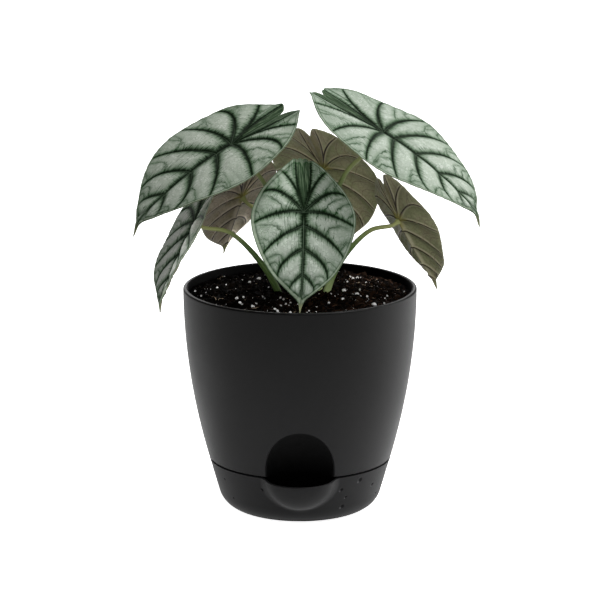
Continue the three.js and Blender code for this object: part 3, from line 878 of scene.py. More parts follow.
# %% Perlite
# Each grain that shows: its place in the picture, across and down, and its size in millimetres.
PERLITE = [
    (195, 291, 1.0), (201, 297, 1.6), (206, 294, 0.8), (217, 288, 1.1), (227, 302, 1.9), (237, 299, 1.7),
    (240, 303.5, 1.8), (243.5, 305.5, 1.7), (243.5, 297.5, 1.2), (253, 306, 1.8), (256.5, 304.4, 1.3),
    (249.6, 283.3, 1.7), (258.8, 279.5, 1.9), (262.6, 298.3, 1.2), (263, 310.5, 1.1), (275, 310, 1.5),
    (277.6, 313, 1.5), (226, 285.5, 1.2), (231.5, 286.5, 0.9), (265, 299, 0.9), (224.5, 277, 0.9),
    (268.5, 287.5, 0.8), (263.5, 287.5, 0.8), (242.5, 281, 0.8), (344, 291, 2.1), (360, 291, 1.5),
    (353, 278.5, 1.4), (350, 277.3, 1.1), (357.4, 278.3, 1.4), (347, 282.6, 1.2), (366, 283, 1.0),
    (357, 295, 2.0), (367, 297.3, 1.5), (343, 300.8, 1.4), (329, 303.7, 1.6), (374, 305.6, 2.1),
    (384.4, 304, 1.4), (387, 296.7, 1.1), (404, 292, 1.2), (316, 312.5, 1.1), (307, 313, 0.8),
    (353.5, 309, 0.9), (346, 310.5, 0.8), (331, 294.5, 0.9), (334.5, 296, 0.9), (361, 297.5, 1.0),
    (385, 298.5, 0.7), (353, 294.7, 0.9),
]
GRAIN_SHARE = 0.66
TRIES = 600
GRAINS_ELSEWHERE = 60
SIZES_ELSEWHERE = (0.4, 1.1)
DUST_GRAINS = 160
DUST_SIZES = (0.16, 0.34)

# The height of the mix gives the place under a picture point, and the place a better height.
across, down, sizes = np.array(PERLITE).T
height = np.full(len(PERLITE), SOIL_EDGE + 1.5)
for _ in range(7):
    spots = seen_at(across, down, height)
    height = soil_height(spots[:, 0], spots[:, 1])
# Other grains lie where the picture doesn't show the mix: in front, in the middle and at the back.
elsewhere = spread(TRIES, 69)
x, y = elsewhere.T
hidden = (y < -50) | ((np.abs(x) < 14) & (y < 40))
at_back = (np.hypot(x, y - 50) < 26) & (random.random(TRIES) < 0.3)
elsewhere = elsewhere[hidden | at_back][:GRAINS_ELSEWHERE]
grain_spots = np.vstack([spots[:, :2], elsewhere, spread(DUST_GRAINS)])
dust_sizes = random.uniform(*DUST_SIZES, DUST_GRAINS)
other_sizes = random.uniform(*SIZES_ELSEWHERE, len(elsewhere))
grain_sizes = np.concatenate([sizes * GRAIN_SHARE, other_sizes, dust_sizes])

perlite_finish = Finish("white_perlite", Roughness=0.85)
pores = perlite_finish.noise(perlite_finish.place(), 1400, detail=3)
tone = perlite_finish.mix(perlite_finish.step(0.3, 0.6, pores), "f0eee9", "ffffff")
perlite_finish.wear(Base_Color=tone, Normal=perlite_finish.relief(pores, 0.4))
lumps("perlite_grains", grain_spots, grain_sizes, 2, 0.24, 0.35, perlite_finish)

# %% [markdown]
# ## The form of a leaf
#
# All blades are one leaf shape: a shield with two lobes behind the stalk and a drawn-out drip tip.
# Half its outline is a curve through a few points, in fractions of the length from stalk to tip, and
# bowed veins cross from the midrib to the edge. On an even grid their grooves would come out jagged.
# So the veins give the grid its columns: each falls on a grid line, and its groove and dark band are
# crisp. The right top leaf has its veins closer to the stalk, and one pair more.

# %% Leaf outline and veins
OUTLINE = [
    (1, 0), (0.93, 0.012), (0.87, 0.04), (0.79, 0.125), (0.6, 0.318), (0.35, 0.455), (0.08, 0.515),
    (-0.18, 0.46), (-0.38, 0.32), (-0.52, 0.165), (-0.565, 0.095), (-0.53, 0.04), (-0.45, 0),
]
# From the tip to the notch: where the vein leaves the midrib, the point it bows towards, where it
# meets the outline, and the number of grid columns to the next one. The first and the last are the
# midline.
OPEN_VEINS = [
    (0.86, (0.93, 0), 0, 14),
    (0.78, (0.857, 0.052), 0.15, 16),
    (0.61, (0.715, 0.145), 0.24, 20),
    (0.36, (0.5, 0.28), 0.3, 24),
    (0.13, (0.255, 0.295), 0.385, 26),
    (0, (-0.035, 0.225), 0.485, 26),
    (0, (-0.31, 0.27), 0.583, 22),
    (0, (-0.3, 0.065), 0.7, 16),
    (0, (-0.265, 0.085), 0.84, 12),
    (0, (-0.225, 0), 1, 0),
]
CLOSE_VEINS = [
    (0.87, (0.935, 0), 0, 12),
    (0.81, (0.872, 0.045), 0.135, 14),
    (0.69, (0.775, 0.105), 0.2, 16),
    (0.5, (0.605, 0.2), 0.27, 20),
    (0.285, (0.4, 0.295), 0.34, 22),
    (0.09, (0.19, 0.33), 0.412, 24),
    (0, (-0.03, 0.27), 0.49, 24),
    (0, (-0.2, 0.17), 0.597, 22),
    (0, (-0.31, 0.05), 0.72, 16),
    (0, (-0.27, 0.058), 0.872, 12),
    OPEN_VEINS[-1],
]
LEAF_ROWS = 46
FAR = 9


def vein_line(vein, v):
    """Places on a vein for v from 0 at the midrib to 1 at the edge: (1 - v) squared of the root, 2 v
    (1 - v) of the bow and v squared of the end."""
    root, bow, end, _ = vein
    v = v[:, None]
    return (1 - v) ** 2 * [root, 0] + 2 * v * (1 - v) * bow + v**2 * curve_through(OUTLINE, end)


def eased(count, evenness):
    """Numbers from 0 to 1 that lie closer together at both ends."""
    even = np.linspace(0, 1, count)
    return evenness * even + (1 - evenness) * (0.5 - 0.5 * np.cos(np.pi * even))


def distance_from(line, place, v):
    """Distance of places from a line: the cross product of the way there and the line's direction,
    over the length of that direction."""
    run, way = np.gradient(line, v, axis=0), place - line
    area = way[..., 0] * run[..., 1] - way[..., 1] * run[..., 0]
    return np.abs(area) / np.maximum(np.hypot(*run.T), 1e-6)


def half_leaf(veins):
    """The flat grid of half a blade in fractions of its length, a row of the result for each column
    from the tip to the notch. Each point has v from the midrib to the edge, u along the outline, f
    from vein to vein, the gap between the two veins, the distances to the nearer one (side) and to
    the edge, the length along the column, and its panel's number from the tip and from the notch
    (behind). Each row has the direction that leads out of the edge."""
    v = eased(LEAF_ROWS, 0.55)
    last = len(veins) - 2
    parts = []
    for number, (first, second) in enumerate(zip(veins, veins[1:])):
        f = eased(first[3] + 1, 0.6)[: None if number == last else -1, None]
        a, b = vein_line(first, v), vein_line(second, v)
        u = first[2] + (second[2] - first[2]) * f
        shift = curve_through(OUTLINE, u[:, 0]) - ((1 - f) * a[-1] + f * b[-1])
        place = (1 - f[..., None]) * a + f[..., None] * b + shift[:, None] * (v**3)[:, None]
        from_a = FAR if number == 0 else distance_from(a, place, v)
        from_b = FAR if number == last else distance_from(b, place, v)
        even = np.zeros(place.shape[:2])
        part = {"place": place, "side": np.minimum(from_a, from_b) + even}
        part |= {"gap": np.linalg.norm(a - b, axis=-1) + even, "v": v + even, "u": u + even}
        part |= {"f": f + even, "panel": number + even, "behind": last - number + even}
        parts.append(part)
    net = {key: np.concatenate([part[key] for part in parts]) for key in parts[0]}
    rim = net["place"][:, -1:]
    run = np.gradient(rim[:, 0], axis=0)
    out = stack(run[:, 1], -run[:, 0]) / np.linalg.norm(run, axis=-1, keepdims=True)
    out[0], out[-1] = (1, 0), (-1, 0)
    steps = np.linalg.norm(np.diff(net["place"], axis=1), axis=-1)
    net["out"] = out
    net["edge"] = np.abs(np.sum((rim - net["place"]) * out[:, None], axis=-1))
    net["along"] = np.pad(np.cumsum(steps, axis=1), ((0, 0), (1, 0)))
    print("Half a blade has", len(net["v"]), "columns and", LEAF_ROWS, "rows")
    return net


nets = {"open": half_leaf(OPEN_VEINS), "close": half_leaf(CLOSE_VEINS)}

# %% [markdown]
# ## Seven leaves in space
#
# A real leaf isn't flat: its halves rise from the midrib like a shallow keel and arch over, the
# front droops, the lobes bend, and the drip tip hooks down. Each could be sculpted, but one formula
# with a few numbers for each leaf is easier to correct. The midrib is three arcs in a row, and a
# point of the flat leaf is carried along them, then out to its side and up by its height.
#
# The table gives each leaf's joint with its stalk, three turns in degrees and its length; the bend
# of the lobes, the front and the tip, the keel, the arch, the sweep to one side, the width, the
# lobes and their pinch; the stalk's foot, way points and straight neck; and the looks: how light it
# is from joint to tip (pale), partly its own tone and partly painted light, and on each half (face,
# under), which is painted light, each half's hem, paler on the half whose edge catches the light as
# painted light, the blush of the underside, the tint, the yellow tip, how bold the veins are, how
# filled the notch is, and the vein pattern.

# %% Leaf places
USUAL = dict(
    sweep=0, width=1, neck=6, blush=0.3, pale=(0.9, 0.9), face=(1, 1), under=(1, 1), hem_and_light=(0.6, 0.6),
    tint=(1, 1, 1), tip=0.35, bold=1, fill=0, veins="open",
)
LEAVES = {
    "left_top": USUAL | dict(
        at=(-45, -15, 248.5), turn=207, pitch=-25, roll=-11, length=90.5,
        bend=(0.45, 0.05, 0.6), keel=8, arch=0.12, sweep=-0.04, lobes=(0.98, 0.92), pinch=0.1,
        foot=(-8, 5), way=((-13, 2, 190), (-25.5, -6, 224)),
        pale=(0.75, 0.54), hem_and_light=(1, 0.2), tint=(1.02, 1, 1), bold=1.3,
    ),
    "right_top": USUAL | dict(
        at=(54.5, -10, 255.5), turn=-23, pitch=-27, roll=7, length=91,
        bend=(0.45, 0.001, 0.65), keel=7, arch=0.14, sweep=0.06, width=0.98, lobes=(1, 1.06), pinch=0.05,
        foot=(12, 3), way=((17, 0, 190), (31, -5, 229)),
        pale=(0.79, 0.86), hem_and_light=(0.2, 1), fill=0.05, veins="close",
    ),
    "front": USUAL | dict(
        at=(2.5, -45, 209.5), turn=270, pitch=-63, roll=-9, length=66,
        bend=(0.5, 0.4, 0.15), keel=7, arch=0.16, lobes=(0.96, 0.98), pinch=0.25,
        foot=(1, -3), way=((1, -5, 178), (1, -20, 199)),
        pale=(1.07, 1.15), face=(1.03, 1), hem_and_light=(0.8, 2), fill=0.12, tip=0.95,
    ),
    "left_low": USUAL | dict(
        at=(-69.5, -5, 194.5), turn=233, pitch=-48, roll=35, length=68,
        bend=(0.1, 0.25, 0.45), keel=10, arch=0.06, width=1.02, lobes=(1, 1), pinch=0,
        foot=(-14, -3), way=((-26, -4, 167), (-46.5, -5, 187.5)), neck=4,
        blush=0.4, pale=(0.88, 0.88), face=(2.2, 1), hem_and_light=(4, 0.4), tint=(1.07, 0.98, 1.06), tip=0.15,
    ),
    "back_left": USUAL | dict(
        at=(-39.5, 35, 204), turn=111, pitch=-51, roll=-21, length=58.5,
        bend=(0.05, 0.3, 0.1), keel=9, arch=0.12, sweep=0.02, lobes=(1, 1.17), pinch=0.05,
        foot=(-2, 11), way=((-7, 14, 172), (-22, 22, 193)), neck=5,
        blush=0.65, under=(0.95, 1.55), tip=0.9,
    ),
    "back": USUAL | dict(
        at=(16, 38, 222.5), turn=66, pitch=-52, roll=4, length=74.5,
        bend=(0.4, 0.3, 0.45), keel=8, arch=0.14, lobes=(0.96, 1.04), pinch=0.05,
        foot=(6, 8), way=((7, 11, 180), (10, 22, 208)), blush=0.1, under=(1.15, 1.35),
    ),
    "right_low": USUAL | dict(
        at=(66, -8, 197), turn=30, pitch=-62, roll=-2, length=59.5,
        bend=(-0.15, 0.001, 0.3), keel=11, arch=0.02, sweep=0.02, width=1.04, lobes=(0.92, 1.08),
        pinch=-0.15, foot=(17, -4), way=((26.5, -5, 167.5), (46, -8, 189.5)), neck=4,
        blush=0.05, under=(1.05, 0.84),
    ),
}
DRIP_START = 0.8
LOBE_BLEND = 0.06


def leaf_frame(leaf):
    """The blade's three directions: along the midrib, to its side, and out of its face. The first
    follows turn and pitch, and the other two are rolled about it."""
    turn, pitch, roll = (math.radians(leaf[key]) for key in ("turn", "pitch", "roll"))
    along = np.array([math.cos(turn) * math.cos(pitch), math.sin(turn) * math.cos(pitch), math.sin(pitch)])
    level = np.array([-math.sin(turn), math.cos(turn), 0])
    side = level * math.cos(roll) + np.cross(along, level) * math.sin(roll)
    return along, side, np.cross(along, side)


def in_space(leaf, s, t, lift):
    """Carries flat places into space. s runs along the midrib and t to the side in fractions of the
    length, and lift is the height over the blade in millimetres. Along an arc of curvature k the
    midrib is at sin(k s) / k forward and (cos(k s) - 1) / k up. The halves rise by the keel's slope
    times the distance from the midrib, less twice the arch times its square."""
    front, back, drip = leaf["bend"]
    mean = sum(leaf["lobes"]) / 2
    reach = mean + (np.where(t >= 0, *leaf["lobes"]) - mean) * np.minimum(1, np.abs(t) / LOBE_BLEND)
    out = t * leaf["width"] * (1 + leaf["pinch"] * np.minimum(s, 0))
    run = np.where(s < 0, s * reach, s)
    curve = np.where(run < 0, back, front)
    angle = curve * np.minimum(run, DRIP_START)
    tight = front + drip / (1 - DRIP_START)
    hook = angle + tight * np.maximum(run - DRIP_START, 0)
    height = math.tan(math.radians(leaf["keel"])) * np.abs(out) - 2 * leaf["arch"] * out * out
    height = height + lift / leaf["length"]
    forward = np.sin(angle) / curve + (np.sin(hook) - np.sin(angle)) / tight + height * np.sin(hook)
    across = out + leaf["sweep"] * np.maximum(run, 0) ** 2
    up = (np.cos(angle) - 1) / curve + (np.cos(hook) - np.cos(angle)) / tight + height * np.cos(hook)
    return leaf["at"] + stack(forward, across, up) @ np.array(leaf_frame(leaf)) * leaf["length"]


print("Lengths from joint to tip in mm:", {name: leaf["length"] for name, leaf in LEAVES.items()})

# %% [markdown]
# ## The silver face
#
# The upper face is what this plant is grown for: pale silver-green panels, and veins in a green that
# is almost black. The dark bands are widest where the veins part, their edges are feathered by fine
# strokes square to the vein, and a grey core runs in them, a painted highlight where light catches
# the middle of the vein. Two ribs lead from the stalk to the notch with a dark web between them, and
# the edge is a pale hem with a thin dark line inside it. It could be painted as an image, but
# distances to the veins stay crisp at any size and fit every leaf.
#
# From each side vein thin arched veins leave nearly square and bend out to the edge. On a panel,
# where f runs from 0 at one side vein to 1 at the next and v from 0 at the midrib to 1 at the edge,
# an arch is the curve v = start + a power of f / reach. Every place lies on the arch whose start is
# v less that power, and its distance to a chosen arch is the difference of their starts over the
# slope. So crisp thin lines need no drawing, only f and v, which the corners of the faces carry.

# %% What both faces share
WIDE_PANEL = (2.5, 7)
ARCH_END = (0.75, 0.95)
ARCHES = {"starts": (0.5, 0.69, 0.86), "reach": 1.0}
LINES = {"starts": (0.34, 0.52, 0.7), "reach": 0.9}
BEND = 2.6


def blade_values(finish):
    """What a blade carries: millimetres to the midrib, the side vein, the edge and the joint, the
    way along the midrib, the web, the flat place, f, v and the panel's number, the millimetres along
    f and v, and the length from the midrib; then a slow cloud."""
    numbers = [finish.carried(key) for key in ("midrib_mm", "side_mm", "edge_mm", "joint_mm", "way", "web")]
    flat = finish.carried("flat", "Vector")
    cell = finish.apart(finish.carried("cell", "Vector"))
    span = finish.apart(finish.carried("span", "Vector"))
    return *numbers, flat, *cell, *span, finish.noise(flat, 0.06)


def arches(finish, f, v, panel, span, wobble, starts, reach):
    """Distance in millimetres to the nearest of a family of arches, which leave the side vein at f =
    0 where v is one of the starts. A chance for each panel shifts each arch and makes it narrower or
    wider, and the wobble bends them. The slope is the root of the sum of the squares of the slopes
    along v and f."""
    per_f, per_v = span
    chance = finish.node("TexWhiteNoise", {"W": panel}, noise_dimensions="1D")
    nearest = float(FAR)
    for count, start in enumerate(starts):
        luck = finish.maths("SINE", chance * (40 + 17 * count))
        narrow = (1.15 + luck * 0.3) / reach
        share = finish.most(f * narrow, 0.0)
        slope = ((1 / per_v) ** 2 + (share ** (BEND - 1) * narrow * BEND / per_f) ** 2) ** 0.5
        number = v + wobble - share ** BEND - start - luck * 0.07
        away = finish.maths("ABSOLUTE", number) / slope + finish.most(luck, 0.0) * 0.45
        nearest = finish.maths("MINIMUM", away, nearest)
    return nearest


# %% Silver face
SILVER_LIGHT = "b6beb3"
SILVER_DEEP = "9da79a"
SILVER_GREEN = "426040"
VEIN_DARK = "071406"
BRANCH_DARK = "1d3a1c"
VEIN_CORE_HIGHLIGHT = "566854"
WEB_GREEN = "2c3d2a"
WEB_STREAK = "5f7259"
HEM_PALE = "8d9a85"
HEM_DARK = "42573f"
TIP_GREEN = "d0d4a4"


def silver_face():
    """The dark bands are distances to the veins over widths that shrink outward, frayed by noise
    that is drawn out along the strokes."""
    finish = Finish("silver_leaf_face", Specular_IOR_Level=0.04)
    step, near, most, noise = finish.step, finish.near, finish.most, finish.noise
    mid, side, edge, joint, s, web, flat, f, v, panel, per_f, per_v, along, cloud = blade_values(finish)
    bold, hem_and_light = finish.carried("bold"), finish.carried("hem_and_light")
    strokes = noise(finish.times(flat, (1.25, 0.2, 1)), 1.0, 3, 0.6)
    feather = noise(finish.vector(along * 1.25, side * 0.2, panel * 9.7), 1.0, 3, 0.6)
    mottle = noise(flat, 0.3, 4, 0.55)

    # Dark bands along the veins, with a green haze around them and single strokes beyond.
    mid_band = (0.7 + 2.2 * most(1 - s, 0.0) ** 1.8) * (0.8 + cloud * 0.4) * bold
    side_band = (0.62 + 1.45 * most(1 - v, 0.0) ** 1.1) * (0.6 + cloud * 0.8)
    side_band = side_band * (1.1 - most(s, 0.0) * 0.6) * bold
    mid_far = mid / mid_band - (strokes - 0.5) * 1.8
    side_far = side / side_band - (feather - 0.5) * 2.0
    mid_fade = 1 - step(0.75, 0.97, s) * 0.35
    side_fade = 1 - step(0.66, 0.86, s) * 0.65
    dark = most(near(0.2, 1.6, mid_far) * mid_fade, near(0.15, 1.6, side_far) * side_fade)
    dark = most(dark, near(1.5, 5.5, joint - (mottle - 0.5) * 3))
    haze = most(near(0.5, 3.2, mid_far) * mid_fade, near(0.4, 3.6, side_far) * side_fade)
    mid_strokes = step(0.54, 0.7, strokes) * near(1.0, 3.5, mid_far) * 0.5
    hatch = most(step(0.54, 0.66, feather) * near(1.5, 6.0, side_far), mid_strokes)
    # Painted highlight: a grey line along the middle of the midrib and of the side veins near their roots.
    core_highlight = near(0.15, 0.5, mid) * step(0.02, 0.12, s) * 0.6
    core_highlight = most(core_highlight, near(0.1, 0.35, side) * near(0.05, 0.5, v) * (1 - web) * 0.4)

    # Thin arches, from one side vein of a panel and, finer, from the other.
    wide = step(*WIDE_PANEL, per_f)
    wobble = (mottle - 0.5) * 0.2
    arch = arches(finish, f, v, panel, (per_f, per_v), wobble, **ARCHES)
    line = arches(finish, 1 - f, v, panel, (per_f, per_v), wobble, **LINES)
    arch_here = wide * near(*ARCH_END, f)
    thin = near(0.1, 0.85, arch + (feather - 0.5) * 0.8) * arch_here * (1 - f * 0.45)
    thin = most(thin, near(0.12, 0.5, line) * wide * step(0.62, 0.85, f) * 0.5)
    thin = thin * (0.55 + step(0.36, 0.56, noise(flat, 0.13, 1)) * 0.5)
    mesh = near(0.02, 0.13, finish.netting(flat, 0.4, 2.4)) * step(0.35, 0.6, mottle)

    # The hem and the web. The hem is the leaf's own pale edge, made paler and wider as painted light on the
    # half whose edge catches the light.
    rim = edge / (0.55 + hem_and_light * 0.5)
    inner_line = step(1.0, 1.35, rim) * near(1.4, 2.4, rim)
    pale_hem = finish.maths("MINIMUM", 0.25 + hem_and_light * 0.6, 0.75) * (0.3 + step(-0.5, -0.2, s) * 0.7)
    streaks = step(0.45, 0.7, noise(finish.times(flat, (0.1, 1.3, 1)), 1.0, 3))

    tone = finish.coats(
        finish.mix(step(0.3, 0.7, mottle), SILVER_DEEP, SILVER_LIGHT),
        (step(0.4, 0.75, cloud) * 0.3, SILVER_DEEP),
        (step(0.45, 1.0, v) * 0.3, SILVER_GREEN),
        (haze * 0.85, SILVER_GREEN),
        (near(0.2, 2.8, arch) * arch_here * 0.5, SILVER_GREEN),
        (mesh * 0.4, SILVER_GREEN),
        (hatch * 0.8, BRANCH_DARK),
        (thin, BRANCH_DARK),
        (web, finish.mix(streaks * step(6, 22, joint), WEB_GREEN, WEB_STREAK)),
        (dark, VEIN_DARK),
        (core_highlight, VEIN_CORE_HIGHLIGHT),
        (inner_line * 0.6, BRANCH_DARK),
        (near(0.9, 1.3, rim) * pale_hem, HEM_PALE),
        (near(0.1, 0.45, edge) * 0.8, HEM_DARK),
        (step(0.88, 0.97, s) * finish.carried("tip"), TIP_GREEN),
    )
    # Partly painted light: each leaf is made lighter or darker from joint to tip, and one half lighter than
    # the other.
    tone = finish.times(tone, finish.carried("pale", "Vector"))
    lines = strokes * near(2, 9, mid) + feather * near(1.5, 7, side)
    height = mottle * 0.5 + lines * 0.35 - thin * 0.7
    return finish.wear(Base_Color=tone, Roughness=0.5 + mottle * 0.14, Normal=finish.relief(height, 0.4))


upper_material = silver_face()
print("Nodes of the silver face:", len(upper_material.node_tree.nodes))

# %% [markdown]
# ## The brown underside
#
# Underneath, the blade is olive to pinkish brown. The veins are slim ribs with a thin dark line and
# a paler flank, which is a painted highlight, the hollows between them are lighter, and at the
# stalk the ribs turn yellow-green.
# One material could ask which side it is on, but the skin is closed, so each side simply has its
# own. The same distances as above place all of it.

# %% Brown underside


def brown_underside():
    """The finish of the underside. Each leaf carries how pink it is, and how light each half is, which is
    painted light.
    """
    finish = Finish("brown_leaf_underside", Specular_IOR_Level=0.16)
    step, near, most = finish.step, finish.near, finish.most
    mid, side, edge, joint, s, web, flat, f, v, panel, per_f, per_v, _, cloud = blade_values(finish)
    blush = finish.carried("blush")
    mottle = finish.noise(flat, 0.35, 5, 0.6)
    pale = finish.mix(blush, "a39a7e", "d8c8ba")
    olive, pink = finish.mix(mottle, "868b66", "aeb387"), finish.mix(mottle, "8d7c68", "bba898")
    hollow = step(0.0, 0.3, f) * near(0.45, 1.0, f)
    line = most(near(0.3, 0.8, side), near(0.2, 0.6, mid) * 0.6) * (1 - step(0.85, 1.0, v) * 0.4)
    arch = arches(finish, f, v, panel, (per_f, per_v), (mottle - 0.5) * 0.09, **ARCHES)
    arch_here = step(*WIDE_PANEL, per_f) * near(*ARCH_END, f)
    rib = most(near(0.5, 2.0, side), near(0.8, 2.6, mid))
    tone = finish.coats(
        finish.mix(blush, olive, pink),
        (step(0.45, 0.66, cloud) * 0.5, pale),
        ((1 - hollow) * 0.42, "44452f"),
        (near(0.02, 0.1, finish.netting(flat, 0.34, 3.0)) * 0.3, "625a44"),
        # Painted highlight: paler flanks beside the midrib and the side veins.
        (most(near(0.9, 3.0, mid), near(0.7, 2.0, side)) * 0.7, finish.mix(blush, "c3be9c", "e0d2c5")),
        (line * 0.95, "231a11"),
        (near(0.4, 1.5, arch) * arch_here * 0.35, pale),
        (near(0.15, 0.5, arch) * arch_here * 0.45, "54463a"),
        (web * 0.4, "6a5b40"),
        (near(3, 9, joint) * rib * 0.8, "8f8a4a"),
        (near(0.35, 0.8, edge) * 0.7, "a3a483"),
        (step(0.78, 0.97, s) * finish.carried("tip"), "9a9f62"),
    )
    # Painted light: each half of the underside is lightened or darkened.
    tone = finish.node("VectorMath", {0: tone, "Scale": finish.carried("under")}, operation="SCALE")
    height = mottle * 0.35 - f * (1 - f) * 2.6
    return finish.wear(Base_Color=tone, Roughness=0.5 + mottle * 0.15, Normal=finish.relief(height, 0.8))


under_material = brown_underside()
print("Nodes of the underside:", len(under_material.node_tree.nodes))

# %% [markdown]
# ## Making a blade
#
# The relief of a blade is a sum: panels swell like cushions, veins are grooves above and ribs below,
# the blade is a little puckered, and its edge is a slim hem. A Solidify modifier could thicken a
# sheet, but its underside would repeat the grooves instead of having ribs. So each half has its upper
# face, a rounded rim and its underside in one table. The two halves are the same flat grid with t
# and minus t, and the skin is closed once they are merged along the midline. A number on each small
# face picks the silver finish or the brown one.

# %% Relief
BLADE = 0.9
EDGE_THICKNESS = 0.55
QUILT = 0.085
MARGIN_WAVE = 0.012
MIDRIB = 1.3
SIDE_RIB = 0.7
MID_GROOVE = 0.55
SIDE_GROOVE = 0.34
PUCKERS = (0.16, 0.1)
HEM = 0.28
RIM_ROWS = 5


def blade_relief(leaf, net, sign):
    """Heights in millimetres over the leaf's curved surface, for the upper face and the underside,
    and the distances in millimetres that they follow from."""
    size = leaf["length"]
    s, t = net["place"][..., 0], net["place"][..., 1]
    v, u, f = net["v"], net["u"], net["f"]
    mid, side, edge = np.hypot(np.minimum(s, 0), t) * size, net["side"] * size, net["edge"] * size
    phase = math.radians(leaf["turn"])
    cushion = QUILT * net["gap"] * size * np.sin(np.pi * v**0.6) * np.sin(np.pi * f) ** 0.75
    wave = size * MARGIN_WAVE * v**3 * np.sin(np.pi * u) * np.sin(9 * np.pi * u + sign + phase)
    phase = phase * 3 + sign
    pucker = PUCKERS[0] * np.sin(s * 47 + phase) * np.sin(t * 53 + 2 * phase)
    pucker = pucker + PUCKERS[1] * np.sin(s * 83 - t * 71 + phase)
    pucker = pucker * smooth_step(0.5, 4, side) * smooth_step(1, 5, np.abs(t) * size)
    forward = np.clip(s, 0, 1)
    groove = MID_GROOVE * (1 - 0.75 * forward) * bump(mid, 1.1)
    groove = groove + SIDE_GROOVE * (1 - 0.6 * v) * bump(side, 0.75)
    upper = cushion + wave + pucker - groove + HEM * bump(edge, 0.75)
    body = EDGE_THICKNESS + (BLADE - EDGE_THICKNESS) * smooth_step(0.5, 4, edge)
    rib = MIDRIB * (1 - 0.9 * forward) * bump(mid, 1.25) * smooth_step(0, 4, edge)
    rib = rib + SIDE_RIB * (1 - v) ** 0.8 * bump(side, 0.7)
    return upper, upper + groove * 0.6 - body - rib, {"midrib_mm": mid, "side_mm": side, "edge_mm": edge}


def widened(value):
    """A table of the half blade continued over the rim and back along the underside."""
    return np.concatenate([value, np.repeat(value[:, -1:], RIM_ROWS, axis=1), value[:, ::-1]], axis=1)


def at_corners(first, second):
    """The values of the four corners of each cell of a table, from the values on the cell's first
    side and on its second side."""
    first, second = widened(first)[:-1], widened(second)[1:]
    return np.stack([first[:, :-1], first[:, 1:], second[:, 1:], second[:, :-1]], axis=2).reshape(-1, 3)


def cells(leaf, net, sign):
    """What the corners of the faces carry: f, v and the panel's number, and the millimetres along f
    and v with the length from the midrib. A panel's last column has f = 1 for the cells before it,
    though it is the next panel's first, where f is 0."""
    size = leaf["length"]
    number = net["panel"] + 0.37 * sign + leaf["turn"] * 0.01
    along_v = size * np.linalg.norm(np.gradient(net["place"], axis=1), axis=-1)
    along_v = along_v / np.maximum(np.gradient(net["v"], axis=1), 1e-6)
    spans = stack(np.maximum(size * net["gap"], 0.5), along_v, net["along"] * size)
    first = stack(net["f"], net["v"], number)
    second = first.copy()
    ends = net["panel"][1:, 0] != net["panel"][:-1, 0]
    second[1:][ends, :, 0] = 1
    second[1:][ends, :, 2] = number[:-1][ends]
    second[-1, :, 0] = 1
    return {"cell": at_corners(first, second), "span": at_corners(spans, spans)}


# %% Blades
NOTCH = 0.07
PATTERN_STEP = 1.7


def half_blade(leaf, net, sign):
    """One half of the skin, upper face, rim and underside in one table, with what its points carry.
    The rim is half a circle, square to the edge and as thick as the blade is there."""
    size = leaf["length"]
    s, t = net["place"][..., 0], net["place"][..., 1] * sign
    s = s - leaf["fill"] * np.maximum(1 - np.abs(t) / NOTCH, 0) * smooth_step(0.2, 0.45, -s)
    upper, under, values = blade_relief(leaf, net, sign)
    half = (upper[:, -1:] - under[:, -1:]) / 2
    angle = np.linspace(0, np.pi, RIM_ROWS + 2)[1:-1]
    bulge = half * np.sin(angle) / size
    rim_s, rim_t = s[:, -1:] + bulge * net["out"][:, :1], t[:, -1:] + bulge * net["out"][:, 1:] * sign
    rim = in_space(leaf, rim_s, rim_t, upper[:, -1:] - half * (1 - np.cos(angle)))
    top, bottom = in_space(leaf, s, t, upper), in_space(leaf, s, t, under)
    # pale is partly the leaf's own tone and partly painted light; face is painted light on one half.
    near, far = leaf["pale"]
    which = 0 if sign > 0 else 1
    pale = (near + (far - near) * np.clip(s, 0, 1)) * leaf["face"][which]
    web = np.where(net["behind"] == 1, 1 - smooth_step(0.15, 0.45, net["v"]), 0)
    web = np.where(net["behind"] == 0, smooth_step(0.2, 1.0, values["side_mm"]), web)
    even = {key: leaf[key] for key in ("blush", "tip", "bold")}
    even |= {key: leaf[key][which] for key in ("under", "hem_and_light")}
    values |= {key: value + 0 * s for key, value in even.items()}
    values |= {"pale": pale[..., None] * leaf["tint"], "web": web, "way": s}
    flat = stack(s * size, t * size, leaf["turn"] * PATTERN_STEP + 0 * s)
    values |= {"joint_mm": np.hypot(s, t) * size, "flat": flat}
    return np.concatenate([top, rim, bottom[:, ::-1]], axis=1), values


def make_blade(name, leaf):
    """The closed skin of a blade from its two halves."""
    net = nets[leaf["veins"]]
    points, faces, carried, cornered = [], [], {}, {}
    for sign in (1, -1):
        table, values = half_blade(leaf, net, sign)
        faces.append(grid_faces(*table.shape[:2]) + len(faces) * table[..., 0].size)
        points.append(table.reshape(-1, 3))
        for key, value in values.items():
            carried.setdefault(key, []).append(widened(value).reshape(-1, *value.shape[2:]))
        for key, value in cells(leaf, net, sign).items():
            cornered.setdefault(key, []).append(value)
    rows = np.arange(len(faces[0])) % (table.shape[1] - 1)
    blade = make_piece(
        "blade_" + name,
        np.concatenate(points),
        np.concatenate(faces),
        values={key: np.concatenate(value) for key, value in carried.items()},
        corners={key: np.concatenate(value) for key, value in cornered.items()},
        materials=[upper_material, under_material],
        wears=np.tile(rows >= LEAF_ROWS + RIM_ROWS // 2, 2),
        sharp=85,
    )
    belongs(blade, "leaf", "leaf_" + name)


for name, leaf in LEAVES.items():
    make_blade(name, leaf)

